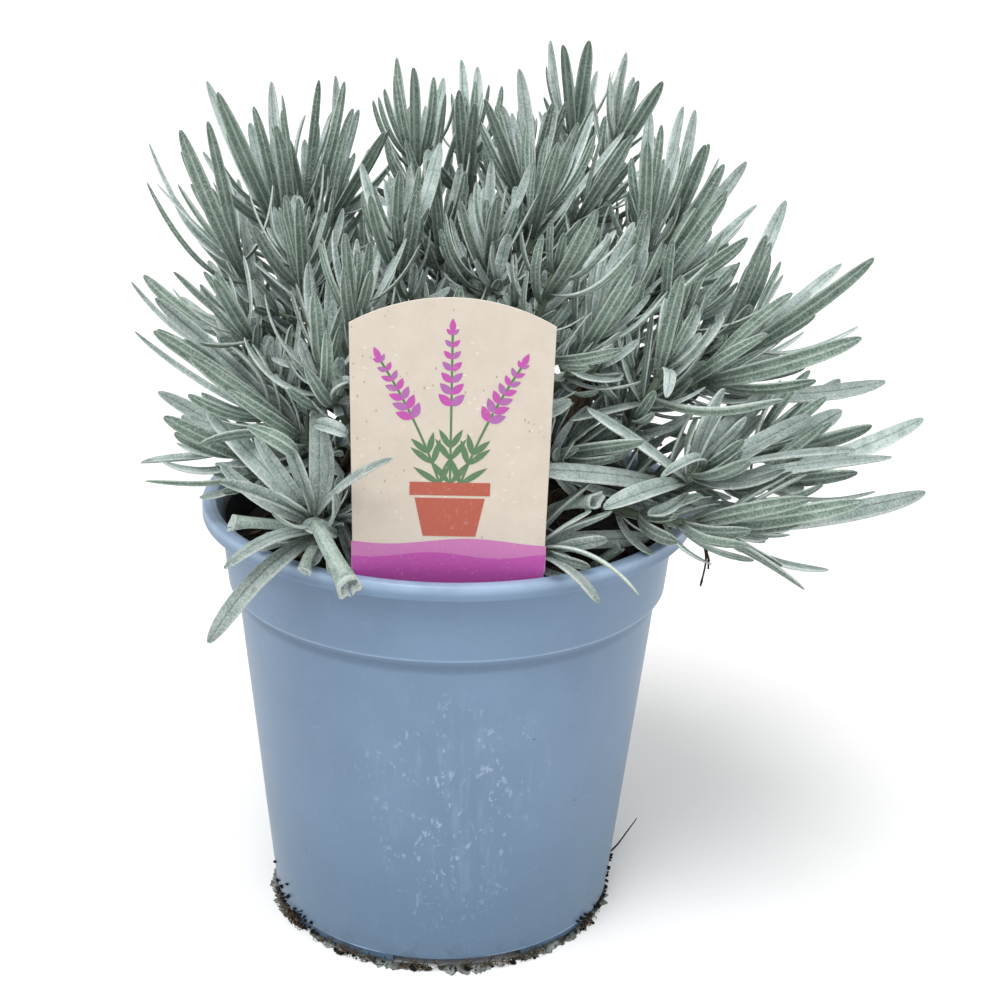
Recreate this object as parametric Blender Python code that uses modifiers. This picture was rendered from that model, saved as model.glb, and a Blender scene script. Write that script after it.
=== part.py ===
"""Potted lavender: a bushy plant of leafy shoots in a round nursery pot, with a stuck-in plant label.

Metres, +Z up, and -Y is the side where the label stands. Everything is laid out round the pot's own axis,
the plant in millimetres by the planting plan below, and is moved by CENTRE at the end, so that the origin
is under the middle of the whole object's bounding box, on the surface that the pot stands on.
"""

import math

import bmesh
import bpy
import numpy as np
from mathutils import Matrix, Vector

MM = 0.001
CENTRE = (0.0193, 0.0094, 0.0)

# ---------------------------------------------------------------- driving dimensions, in metres
POT_HEIGHT = 0.1172
RIM_RADIUS = 0.0650
RIM_DEPTH = 0.0038
RIM_INNER_RADIUS = 0.0619
COLLAR_TOP_RADIUS = 0.0602
COLLAR_FOOT_RADIUS = 0.0584
COLLAR_FOOT = 0.0972
BODY_TOP_RADIUS = 0.0566
BODY_TOP = 0.0930
BASE_RADIUS = 0.0469
WALL = 0.0012
FLOOR_UNDERSIDE = 0.0034
FLOOR_TOP = 0.0048
POT_STEPS = 40

FOOT_ARCHES = 4
FOOT_ARCH_WIDTH = 0.034
FOOT_ARCH_HEIGHT = 0.0028
FIRST_ARCH_BEARING = math.radians(-82.5)
DRAIN_HOLES = 8
DRAIN_HOLE_RADIUS = 0.0022
DRAIN_CIRCLE_RADIUS = 0.036

SEAT_GAP = 0.00035
SOIL_EDGE = 0.1045
SOIL_CROWN = 0.1066

LABEL_HALF_WIDTH = 0.0234
LABEL_THICKNESS = 0.0005
LABEL_SHOULDER = 0.0620
LABEL_ARCH = 0.0064
LABEL_POCKET_HALF_WIDTH = 0.0105
LABEL_POCKET = -0.0100
LABEL_STAKE_HALF_WIDTH = 0.0030
LABEL_STAKE_END = -0.0330
LABEL_PLACE = (0.0018, -0.0562, POT_HEIGHT)
LABEL_LEAN = math.radians(-4.0)
LABEL_YAW = math.radians(1.6)

# ---------------------------------------------------------------- planting plan, in millimetres
SOIL = 105.0
TRUNK_FOOT = 86.0
TRUNK_TOP = 109.0
TRUNK_R = 3.4
ARM_R = 2.6
HEAD_R = 4.0
STEM_R = 1.05
SEAT = 0.35
LEAF_WIDTH = 5.0
TOP_LEAF_SHARE = 0.74
WIDE_BELOW, NARROW_ABOVE = 138.0, 168.0
LEAF_REACH = 38.0
PAIR_STEP = 2.3
SHORT_LEAF = 24.0
SEED = 4

# Each woody stem: its place at the soil, and the knobby heads that the green shoots grow from.
WOODY_STEMS = {
    "left": ((-13, -2), [(-27, -20, 127), (-31, 10, 146)]),
    "centre": ((2, -6), [(8, -25, 130), (3, 2, 150)]),
    "right": ((14, 0), [(36, -19, 128), (35, 8, 146)]),
    "back": ((1, 13), [(10, 30, 152), (-24, 34, 130), (36, 33, 130)]),
}
# Each green shoot: the place of its tuft, the bearing and climb of the tuft's axis in degrees, the reach
# of its longest leaves and its number of leaf pairs, then the leaves that stand out from the rule, as
# (bearing, climb, length, bow) and, for a slender leaf, its share of the usual width. A leaf arches where
# its bow is above 0 and hangs like a bowl's side below 0.
SHOOTS = [
    ((-29, -51, 126), -120, 45, 36, 4, [(-150, 30, 30, 0.06), (150, 35, 40, 0.05), (100, 55, 35, -0.06),
        (-135, 5, 32, 0.10), (-40, 42, 34, 0.10, 0.85), (-130, -25, 42, 0.16), (-65, -15, 26, 0.22),
        (-105, -25, 14, 0.10), (-125, 35, 16, 0.00)]),
    ((58, -36, 134), -25, 45, 40, 5, [(-150, 15, 42, 0.03), (-150, 0, 42, 0.08), (-160, 35, 34, 0.05),
        (-90, 65, 26, -0.12), (-30, 20, 44, 0.05), (-5, 20, 54, -0.02), (25, 20, 34, -0.02),
        (40, 30, 42, 0.02), (-125, 5, 18, 0.40)]),
    ((-37, -36, 146), -175, 25, 42, 5, [(175, 30, 46, -0.16, 0.45), (165, 35, 46, -0.14),
        (-160, 40, 40, -0.10), (-150, 40, 36, -0.06), (145, 25, 32, -0.08), (-140, 15, 34, 0.12)]),
    ((-40, -26, 146), 170, 75, 26, 5, []),
    ((-46, -30, 135), -175, 15, 34, 5, [(-150, 30, 34, -0.14), (150, 20, 34, -0.20), (-140, 25, 28, -0.10),
        (-140, 10, 34, -0.22, 0.5), (-115, 25, 22, -0.04)]),
    ((-48, -22, 162), 165, 55, 30, 5, [(125, 35, 30, -0.06), (-115, 50, 26, -0.06), (-110, 15, 26, -0.08),
        (145, 15, 46, -0.20, 0.40), (-95, 10, 30, 0.30, 0.8), (-85, 55, 22, 0.00)]),
    ((-29, -42, 157), -175, 85, 30, 6, []),
    ((-52, -4, 173), 150, 60, 44, 6, [(140, 40, 50, -0.16, 0.45), (-130, 45, 42, -0.26, 0.45),
        (-120, 60, 46, -0.14), (125, 40, 42, -0.10), (-120, 70, 42, -0.05), (110, 50, 36, -0.03)]),
    ((-45, 14, 181), 145, 60, 46, 6, [(125, 45, 54, -0.16), (-115, 55, 50, -0.04), (105, 55, 44, -0.04),
        (-90, 65, 38, -0.10), (-115, 30, 30, -0.10)]),
    ((-42, 34, 181), 85, 65, 44, 6, [(75, 60, 44, -0.14), (-40, 70, 42, -0.16), (80, 50, 40, -0.12),
        (-100, 60, 32, -0.05)]),
    ((-35, 22, 182), 45, 55, 38, 5, [(70, 50, 38, -0.12), (-30, 55, 34, -0.10), (95, 50, 32, 0.05),
        (-75, 50, 22, 0.00)]),
    ((-37, -12, 172), 120, 75, 34, 6, [(-85, 65, 32, -0.04), (80, 40, 38, -0.10), (-120, 45, 28, -0.10),
        (120, 30, 30, -0.10)]),
    ((-22, -40, 170), 100, 80, 34, 5, [(-95, 65, 32, 0.00), (80, 40, 28, -0.05), (-65, 60, 24, -0.05)]),
    ((-13, -18, 181), 110, 80, 30, 6, [(-115, 50, 34, -0.10), (115, 40, 34, -0.05), (70, 45, 36, -0.08),
        (-70, 65, 28, -0.10), (-60, 45, 18, -0.20), (-100, 60, 24, 0.00), (-90, 70, 22, 0.00)]),
    ((-11, 28, 192), 100, 65, 38, 6, [(110, 50, 42, -0.06), (-95, 65, 38, -0.02), (105, 45, 38, -0.05),
        (80, 55, 36, 0.00)]),
    ((2, 34, 192), 95, 65, 38, 6, [(95, 55, 40, 0.00), (-100, 65, 30, -0.04), (80, 45, 40, -0.10),
        (-85, 60, 34, 0.00)]),
    ((-4, 8, 183), 120, 70, 30, 5, [(-120, 65, 32, -0.10), (75, 45, 28, -0.10), (-120, 75, 26, 0.00)]),
    ((9, -22, 181), 95, 80, 30, 6, [(-135, 50, 24, -0.22), (-120, 50, 30, -0.16), (-80, 65, 22, -0.05),
        (100, 35, 32, -0.02), (90, 45, 30, 0.00), (-40, 40, 36, -0.12), (-75, 55, 20, 0.08)]),
    ((20, 4, 186), 60, 55, 36, 6, [(-70, 60, 32, -0.12), (-60, 60, 36, -0.10), (55, 45, 38, -0.06),
        (45, 40, 42, -0.06), (-75, 55, 26, -0.08)]),
    ((19, 18, 189), 135, 65, 38, 5, [(-120, 55, 42, -0.05), (105, 35, 38, -0.05), (95, 50, 42, -0.10)]),
    ((19, 36, 192), 95, 65, 30, 5, []),
    ((31, 50, 198), 85, 65, 36, 6, [(105, 55, 38, -0.06), (-105, 65, 36, 0.00), (-80, 65, 38, 0.02),
        (70, 45, 34, -0.05)]),
    ((39, 36, 198), 45, 60, 36, 6, [(75, 45, 40, -0.10), (-60, 50, 38, -0.06)]),
    ((32, 14, 187), 15, 50, 34, 5, [(-55, 50, 36, -0.05), (65, 40, 26, -0.05)]),
    ((22, -38, 178), 5, 70, 30, 6, [(-135, 55, 18, -0.20), (-95, 65, 20, -0.15), (-55, 50, 32, -0.06),
        (50, 30, 34, -0.06), (-45, 30, 32, -0.20)]),
    ((31, -38, 165), 5, 60, 36, 5, [(-60, 50, 38, -0.06), (-90, 60, 24, -0.10), (70, 40, 42, -0.05)]),
    ((49, 6, 180), 85, 75, 38, 6, [(-90, 65, 38, -0.03), (90, 50, 44, -0.03), (80, 50, 46, -0.08)]),
    ((57, 26, 183), 50, 65, 36, 5, [(70, 50, 40, -0.10), (85, 60, 36, -0.08), (-70, 60, 28, -0.08)]),
    ((53, 16, 175), 30, 45, 38, 5, [(50, 45, 46, -0.08), (-45, 55, 38, -0.06), (45, 40, 42, -0.08)]),
    ((51, 2, 171), 15, 35, 38, 5, [(35, 30, 42, -0.05), (-45, 35, 36, -0.12), (-45, 55, 34, -0.05),
        (-40, 50, 28, -0.05)]),
    ((57, -4, 164), 20, 40, 30, 4, []),
    ((70, 4, 157), 45, 60, 38, 5, [(-60, 65, 38, -0.06), (-40, 60, 34, -0.10), (50, 55, 42, -0.04),
        (-55, 65, 28, -0.04)]),
    ((72, -8, 159), 20, 35, 42, 5, [(35, 30, 42, -0.05), (-35, 40, 46, -0.04), (-40, 30, 30, -0.04)]),
    ((62, -16, 154), 5, 15, 42, 4, [(35, 10, 32, -0.05), (-40, 25, 50, -0.12), (15, 0, 54, -0.12)]),
    ((50, -32, 157), 0, 65, 32, 5, [(50, 40, 26, -0.04), (30, 30, 32, -0.06), (-65, 70, 30, -0.05),
        (-40, 15, 38, -0.16), (-90, 0, 18, 0.30), (-140, 0, 26, 0.03)]),
    ((41, -12, 166), 40, 70, 36, 4, []),
    ((75, -16, 134), 10, 30, 38, 5, [(35, 25, 38, -0.03), (-40, 35, 46, -0.06), (30, 15, 48, -0.04)]),
    ((75, -28, 133), 5, 20, 40, 4, [(-35, 30, 44, -0.05), (20, 10, 52, -0.08), (30, 10, 36, -0.04)]),
    ((63, -42, 126), -15, 5, 40, 5, [(-40, 25, 34, -0.16), (-30, 20, 42, -0.16), (-10, 15, 52, -0.14),
        (-50, -5, 38, 0.03), (-55, -5, 24, -0.05), (30, -20, 28, 0.00)]),
    ((26, -46, 167), -15, 15, 22, 4, [(-50, 20, 24, -0.15), (-55, 15, 16, 0.10), (55, 0, 18, 0.00)]),
    ((20, -48, 121), -30, 5, 28, 4, [(-40, 15, 24, 0.05), (-45, -15, 26, 0.20), (-40, -5, 32, 0.18),
        (25, -5, 38, 0.10)]),
    ((28, -36, 141), -5, 20, 30, 4, [(-40, 20, 26, 0.05)]),
    ((-1, -34, 158), 120, 80, 30, 4, []),
    ((10, 56, 158), 80, 45, 36, 6, []),
    ((-26, 48, 152), 110, 40, 38, 6, []),
    ((-52, 30, 146), 150, 35, 38, 6, []),
    ((44, 46, 152), 55, 35, 38, 6, []),
    ((62, 20, 146), 20, 35, 38, 5, []),
    ((2, 64, 134), 95, 10, 34, 5, []),
    ((-42, 48, 130), 130, 10, 32, 5, []),
]

UP = np.array([0.0, 0.0, 1.0])
# How far along the axis from the tuft's place, in millimetres, each leaf that stands out is set.
LEAF_SETS = (-1.0, 0.6, 2.2, -2.6, 3.8, -4.2, 5.4, -5.8, 7.0)
TRIES = 16
STEM_TRIES = 60
GROWN_FREE = 0.28
NOT_FREE = 1


# ---------------------------------------------------------------- the planting plan, worked out
def unit(v):
    v = np.asarray(v, float)
    return v / np.linalg.norm(v)


def lerp(a, b, t):
    return a + (b - a) * t


def direction(bearing, climb):
    bearing, climb = math.radians(bearing), math.radians(climb)
    level = math.cos(climb)
    return np.array([level * math.cos(bearing), level * math.sin(bearing), math.sin(climb)])


def bezier(path, t):
    t = np.asarray(t, float)[:, None]
    a, b, c, d = (np.asarray(p, float) for p in path)
    return (1 - t) ** 3 * a + 3 * (1 - t) ** 2 * t * b + 3 * (1 - t) * t**2 * c + t**3 * d


class Room:
    """The crown's space in small cells, each with the number of what fills it."""

    CELL = 0.55
    LOW = np.array([-112.0, -100.0, 88.0])
    SIZE = np.array([458, 360, 278])

    def __init__(self):
        self.owner = np.zeros(self.SIZE, np.int16)
        step = (-1, 0, 1)
        self.near = np.array([(i, j, k) for i in step for j in step for k in step])

    def cells(self, points):
        return np.clip(np.floor((points - self.LOW) / self.CELL).astype(int), 0, self.SIZE - 1)

    def owners(self, points):
        return self.owner[tuple(self.cells(points).T)]

    def mark(self, points, owner):
        cells = np.unique(self.cells(points), axis=0)
        cells = (cells[:, None, :] + self.near).reshape(-1, 3)
        cells = tuple(np.clip(cells, 0, self.SIZE - 1).T)
        self.owner[cells] = np.where(self.owner[cells] == 0, owner, self.owner[cells])

    def keep_pot_and_label_free(self):
        x, y, z = (low + (np.arange(size) + 0.5) * self.CELL for low, size in zip(self.LOW, self.SIZE))
        x, y = x[:, None, None], y[:, None]
        r = np.hypot(x, y)
        outer = np.where(z > 113.0, 65.7, 61.1)
        inner = np.where(z > 113.0, 60.9, 57.9)
        pot = (r < outer) & (r > inner) & (z < 117.9)
        soil = (r < 62.0) & (z < SOIL + 2.0)
        label = (np.abs(x - 1.8) < 24.3) & (np.abs(y + 56.2 + (z - 117.0) * 0.07) < 1.1) & (z < 186.5)
        self.owner[pot | soil | label] = NOT_FREE


def points_in_tube(line, radius):
    along = np.gradient(line, axis=0)
    along /= np.linalg.norm(along, axis=1)[:, None]
    a = np.cross(along, [0.3, 0.5, 0.8])
    a /= np.linalg.norm(a, axis=1)[:, None]
    b = np.cross(along, a)
    points = [line]
    for turn in np.arange(8) * math.pi / 4:
        for r in np.arange(radius, 0.3, -0.5):
            points.append(line + (a * math.cos(turn) + b * math.sin(turn)) * r)
    return np.concatenate(points)


def half_width(t, width):
    """A linear leaf: a narrow foot, nearly parallel sides, widest past the middle, and a blunt point."""
    t = np.asarray(t, float)
    foot = 0.48 + 0.52 * np.sin(np.clip(t / 0.45, 0, 1) * math.pi / 2)
    tip = np.sqrt(np.clip(1 - np.clip((t - 0.70) / 0.30, 0, 1) ** 2.3, 0, 1))
    return 0.5 * width * foot * tip


def leaf_frames(leaf, stations):
    """Fractions, points, upward normals and sideways directions along a leaf's midrib."""
    t = np.linspace(0, 1, stations)
    points = bezier(leaf["path"], t)
    along = np.gradient(points, axis=0)
    along /= np.linalg.norm(along, axis=1)[:, None]
    up = leaf["up"] - (along @ leaf["up"])[:, None] * along
    up /= np.linalg.norm(up, axis=1)[:, None]
    turn = np.radians(leaf["twist"]) * t
    up = up * np.cos(turn)[:, None] + np.cross(along, up) * np.sin(turn)[:, None]
    return t, points, up, np.cross(up, along)


def points_in_leaf(leaf):
    t, points, up, side = leaf_frames(leaf, max(8, int(leaf["length"] / 0.5)))
    half = half_width(t, leaf["width"])
    found = []
    for s in np.linspace(-1, 1, max(3, int(leaf["width"] / 0.5))):
        line = points + side * (s * half)[:, None]
        for lift in (-0.45, 0.45):
            found.append(line + up * (lift * (1 - 0.6 * abs(s))))
    return np.concatenate(found), np.tile(t, len(found))


def across(axis):
    """A direction square to a tuft's axis, from which its pairs of leaves are turned."""
    for start in (np.array([1.0, 0.0, 0.0]), np.array([0.0, -1.0, 0.0])):
        square = start - (start @ axis) * axis
        if np.linalg.norm(square) > 0.35:
            break
    return unit(square)


def leaf_by_rule(base, axis, turn, open_foot, open_tip, length, width, twist):
    """A leaf that leaves its stem at open_foot degrees from the axis, and bends up to open_tip."""
    first = across(axis)
    turn = math.radians(turn)
    out = first * math.cos(turn) + np.cross(axis, first) * math.sin(turn)
    foot, tip = math.radians(open_foot), math.radians(open_tip)
    starts = math.cos(foot) * axis + math.sin(foot) * out
    ends = unit(math.cos(tip) * axis + math.sin(tip) * out + 0.25 * UP)
    a = base + out * 0.35
    b = a + starts * length * 0.34
    c = b + unit(starts * 0.35 + ends * 0.65) * length * 0.33
    d = c + ends * length * 0.35
    middle = (foot + tip) / 2
    up = unit(axis * math.sin(middle) - out * math.cos(middle))
    return {"path": (a, b, c, d), "up": up, "length": length, "width": width, "twist": twist}


def leaf_by_hand(base, axis, chord, bow, width, twist):
    """A leaf along a chosen chord, its upper face towards the tuft's axis."""
    length = np.linalg.norm(chord)
    along = chord / length
    square = axis - (axis @ along) * along
    out = chord - (chord @ axis) * axis
    out = unit(out) if np.linalg.norm(out) > 1e-3 else across(axis)
    if np.linalg.norm(square) > 0.1:
        up = unit(square + 0.25 * (UP - (UP @ along) * along))
    else:
        up = unit((out @ along) * along - out)
    a = base + out * 0.35
    d = base + chord
    b = a + (d - a) * 0.33 + up * bow * length
    c = a + (d - a) * 0.68 + up * bow * length * 0.9
    grown = length * (1 + 1.6 * bow * bow)
    return {"path": (a, b, c, d), "up": up, "length": grown, "width": width, "twist": twist}


def leaf_width(shoot, length, power):
    """Broad leaves on the low shoots, narrow ones at the top of the crown."""
    height = (shoot["place"][2] - WIDE_BELOW) / (NARROW_ABOVE - WIDE_BELOW)
    share = lerp(1.0, TOP_LEAF_SHARE, min(max(height, 0.0), 1.0))
    return LEAF_WIDTH * share * (length / LEAF_REACH) ** power


def on_stem(shoot, distance):
    """The place on a shoot's stem this far from the foot of its tuft; below the foot it follows the bend."""
    if distance >= 0:
        return shoot["place"] + shoot["axis"] * min(distance, shoot["tuft"] - 1.6)
    line = shoot["line"]
    for low, high in zip(line[-2::-1], line[:0:-1]):
        span = np.linalg.norm(high - low)
        if -distance <= span:
            return high + (low - high) * (-distance / span)
        distance += span
    return line[0]


def grow_woody_stems(room):
    """Paths of the woody arms, and every knobby head as (place, owner number)."""
    stems, heads = {}, []
    t = np.linspace(0, 1, 60)
    for number, (name, (foot, tops)) in enumerate(WOODY_STEMS.items()):
        owner = 10 + number
        low = np.array([foot[0], foot[1], TRUNK_FOOT])
        room.mark(points_in_tube(low + (UP * (TRUNK_TOP - TRUNK_FOOT)) * t[:, None], TRUNK_R), owner)
        start = np.array([foot[0], foot[1], TRUNK_TOP - 2.0])
        arms = []
        for top in tops:
            head = np.array(top, float)
            lean = (head - start) * np.array([0.25, 0.25, 0.0])
            path = (start, start + UP * 6.0, head - UP * 8.0 - lean, head)
            arms.append(path)
            room.mark(points_in_tube(bezier(path, t), ARM_R), owner)
            steps = np.arange(0, 2 * math.pi, 0.17)
            ball = [(math.cos(u) * math.cos(v), math.sin(u) * math.cos(v), math.sin(v)) for u in steps
                    for v in np.arange(-1.5, 1.6, 0.17)]
            for r in (HEAD_R - 0.4, HEAD_R - 1.6):
                room.mark(head + np.array(ball) * r, owner)
            heads.append((head, owner))
        stems[name] = arms
    return stems, heads


def nearest_heads(heads, place, axis):
    def cost(head):
        way = place - head[0]
        below = 40.0 if way[2] < 4.0 else 0.0
        return np.linalg.norm(way) + below - 10.0 * unit(way) @ axis

    return sorted(heads, key=cost)[:2]


def route_stem(room, shoot, rng):
    """A green stem from its woody head to its tuft, bent until it is clear of everything before it."""
    place, axis = shoot["place"], shoot["axis"]
    tuft = place + axis * np.linspace(0.05, 1, 24)[:, None] * shoot["tuft"]
    for attempt in range(2 * STEM_TRIES):
        head, wood = shoot["heads"][attempt // STEM_TRIES]
        gap = np.linalg.norm(place - head)
        loose = attempt % STEM_TRIES / STEM_TRIES
        stray = rng.normal(size=3) * (0.1 + 0.9 * loose) if attempt else np.zeros(3)
        leaves_head = unit(unit(place - head) + stray)
        start = head + leaves_head * (HEAD_R + SEAT)
        arch = rng.normal(size=3) * 14 * loose
        path = (start, start + leaves_head * gap * 0.3, place - axis * gap * 0.3 + arch, place)
        line = bezier(path, (0.0, 0.3, 0.55, 0.75, 0.88, 1.0))
        run = [lerp(low, high, t) for low, high in zip(line, line[1:]) for t in np.arange(0, 1, 0.03)]
        points = points_in_tube(np.concatenate([run, tuft]), STEM_R)
        owners = room.owners(points)
        from_head = np.linalg.norm(points - head, axis=1)
        away = from_head > HEAD_R + 2.2
        blocked = ((owners != 0) & ((owners != wood) | away)).any()
        if not blocked and from_head.min() > HEAD_R - 0.05:
            break
    room.mark(points, shoot["owner"])
    return line


def leaf_jobs(shoot, chosen, rng):
    """(order, shoot, builder) for every leaf of a tuft, outer pairs first."""
    axis, reach, pairs = shoot["axis"], shoot["reach"], shoot["pairs"]
    jobs = []
    for k, (bearing, climb, length, bow, *slender) in enumerate(chosen):
        base = on_stem(shoot, LEAF_SETS[k])
        width = leaf_width(shoot, length, 0.35) * (1.0 + 0.10 * math.sin(9 * bow + k))
        width *= slender[0] if slender else 1.0
        twist = 22 * math.sin(5 * k + length)

        def by_hand(da, db, size, base=base, b=bearing, c=climb, n=length, bow=bow, w=width, twist=twist):
            chord = direction(b + da * 1.2, c + db * 1.2) * n * size
            return leaf_by_hand(base, axis, chord, bow, w, twist)

        jobs.append((0, shoot, by_hand))
    phase = rng.uniform(0, 90)
    for j in range(max(0, pairs - 3) if chosen else 0, pairs):
        inner = j / (pairs - 1)
        length = reach * (1 - 0.55 * inner**2.2) * (0.93 if j == 0 else 1.0) * (0.8 if chosen else 1.0)
        for side in (0, 180):
            turn = phase + 90 * j + side + rng.uniform(-8, 8)
            foot = lerp(80, 24, inner) + rng.uniform(-8, 8)
            tip = lerp(26, 5, inner) + rng.uniform(-8, 8)
            own = length * rng.uniform(0.9, 1.08)
            width = leaf_width(shoot, own, 0.4) * rng.uniform(0.85, 1.08)
            base = on_stem(shoot, PAIR_STEP * j - 1)

            def by_rule(da, db, size, base=base, turn=turn, foot=foot, tip=tip, n=own, w=width,
                        twist=rng.uniform(-25, 25)):
                return leaf_by_rule(base, axis, turn + da * 3, max(14, foot + db * 2.2),
                                    max(3, tip + db * 1.5), n * size, w, twist)

            jobs.append((1 + j, shoot, by_rule))
    return jobs


def place_leaf(room, shoot, builder, rng):
    """Sets one leaf, turned or shortened until it is clear; a leaf that finds no room isn't grown."""
    for attempt in range(TRIES):
        da, db = (rng.uniform(-attempt, attempt), rng.uniform(-attempt, attempt)) if attempt else (0, 0)
        leaf = builder(da, db, 1 - 0.022 * attempt)
        points, t = points_in_leaf(leaf)
        owners = room.owners(points)
        own = owners // 100 == shoot["owner"] // 100
        if ((owners != 0) & ~own).any() or (own & (t > GROWN_FREE)).any():
            continue
        shoot["leaves"].append(leaf)
        room.mark(points, shoot["owner"] + len(shoot["leaves"]))
        return


def grow_plant():
    """The whole plant as paths: the woody stems' arms, and each shoot with its stem and leaves."""
    room = Room()
    room.keep_pot_and_label_free()
    rng = np.random.default_rng(SEED)
    woody_stems, heads = grow_woody_stems(room)
    shoots = []
    for number, (place, bearing, climb, reach, pairs, _) in enumerate(SHOOTS):
        place, axis = np.array(place, float), direction(bearing, climb)
        shoots.append({"place": place, "axis": axis, "reach": reach, "pairs": pairs, "leaves": [],
                       "heads": nearest_heads(heads, place, axis), "owner": 100 * (number + 1),
                       "tuft": PAIR_STEP * (pairs - 1) + 1.5})
    for shoot in sorted(shoots, key=lambda s: np.linalg.norm(s["place"] - s["heads"][0][0])):
        shoot["line"] = route_stem(room, shoot, rng)
    jobs = []
    for shoot, row in zip(shoots, SHOOTS):
        jobs += leaf_jobs(shoot, row[5], rng)
    jobs.sort(key=lambda job: job[0])
    for _, shoot, builder in jobs:
        place_leaf(room, shoot, builder, rng)
    return woody_stems, shoots


# ---------------------------------------------------------------- helpers for making solids
def clear_scene():
    for obj in list(bpy.data.objects):
        bpy.data.objects.remove(obj, do_unlink=True)


def new_collection(name):
    collection = bpy.data.collections.new(name)
    bpy.context.scene.collection.children.link(collection)
    return collection


def material(name, colour, roughness, metallic=0.0):
    made = bpy.data.materials.new(name)
    made.use_nodes = True
    shader = made.node_tree.nodes["Principled BSDF"]
    shader.inputs["Base Color"].default_value = (*colour, 1.0)
    shader.inputs["Roughness"].default_value = roughness
    shader.inputs["Metallic"].default_value = metallic
    return made


def add_object(name, data, collection, finish=None):
    obj = bpy.data.objects.new(name, data)
    collection.objects.link(obj)
    if finish:
        obj.data.materials.append(finish)
    return obj


def object_from_bmesh(name, bm, collection, finish=None):
    mesh = bpy.data.meshes.new(name)
    bm.to_mesh(mesh)
    bm.free()
    return add_object(name, mesh, collection, finish)


def as_helper(obj):
    obj.hide_render = True
    obj.display_type = "WIRE"
    return obj


def smooth(obj, angle=40):
    obj.data.shade_smooth()
    obj.data.set_sharp_from_angle(angle=math.radians(angle))


def turned(name, profile, collection, finish, steps=POT_STEPS):
    """A solid turned round Z from (radius, height) points, from axis to axis and down the outer side."""
    mesh = bpy.data.meshes.new(name)
    points = [(r, 0.0, z) for r, z in profile]
    mesh.from_pydata(points, [(i, i + 1) for i in range(len(points) - 1)], [])
    obj = add_object(name, mesh, collection, finish)
    screw = obj.modifiers.new("turn", "SCREW")
    screw.steps = screw.render_steps = steps
    screw.use_merge_vertices = True
    screw.merge_threshold = 0.000001
    screw.use_smooth_shade = True
    return obj


def combine(obj, other, operation, use_self=False):
    boolean = obj.modifiers.new(other.name, "BOOLEAN")
    boolean.operation = operation
    boolean.solver = "EXACT"
    boolean.use_self = use_self
    boolean.object = other


def tube_mesh(name, points, radii, collection, finish=None, sides=4):
    """A closed tube mesh through the points, in metres, from a beveled poly curve."""
    curve = bpy.data.curves.new(name, "CURVE")
    curve.dimensions = "3D"
    curve.bevel_depth = 1.0
    curve.bevel_resolution = (sides - 4) // 2
    curve.use_fill_caps = True
    spline = curve.splines.new("POLY")
    spline.points.add(len(points) - 1)
    for point, place, radius in zip(spline.points, points, radii):
        point.co = (*place, 1.0)
        point.radius = radius
    draft = bpy.data.objects.new(name + "_curve", curve)
    collection.objects.link(draft)
    bpy.context.view_layer.update()
    graph = bpy.context.evaluated_depsgraph_get()
    mesh = bpy.data.meshes.new_from_object(draft.evaluated_get(graph))
    mesh.name = name
    mesh.materials.clear()
    bm = bmesh.new()
    bm.from_mesh(mesh)
    bmesh.ops.remove_doubles(bm, verts=bm.verts, dist=1e-6)
    bmesh.ops.recalc_face_normals(bm, faces=bm.faces)
    bm.to_mesh(mesh)
    bm.free()
    obj = add_object(name, mesh, collection, finish)
    obj.matrix_world = draft.matrix_world
    bpy.data.objects.remove(draft, do_unlink=True)
    bpy.data.curves.remove(curve)
    return obj


def cylinder(bm, radius, low, high, place, segments=16):
    matrix = Matrix.Translation((place[0], place[1], (low + high) / 2))
    bmesh.ops.create_cone(bm, cap_ends=True, segments=segments, radius1=radius, radius2=radius,
                          depth=high - low, matrix=matrix)


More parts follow.
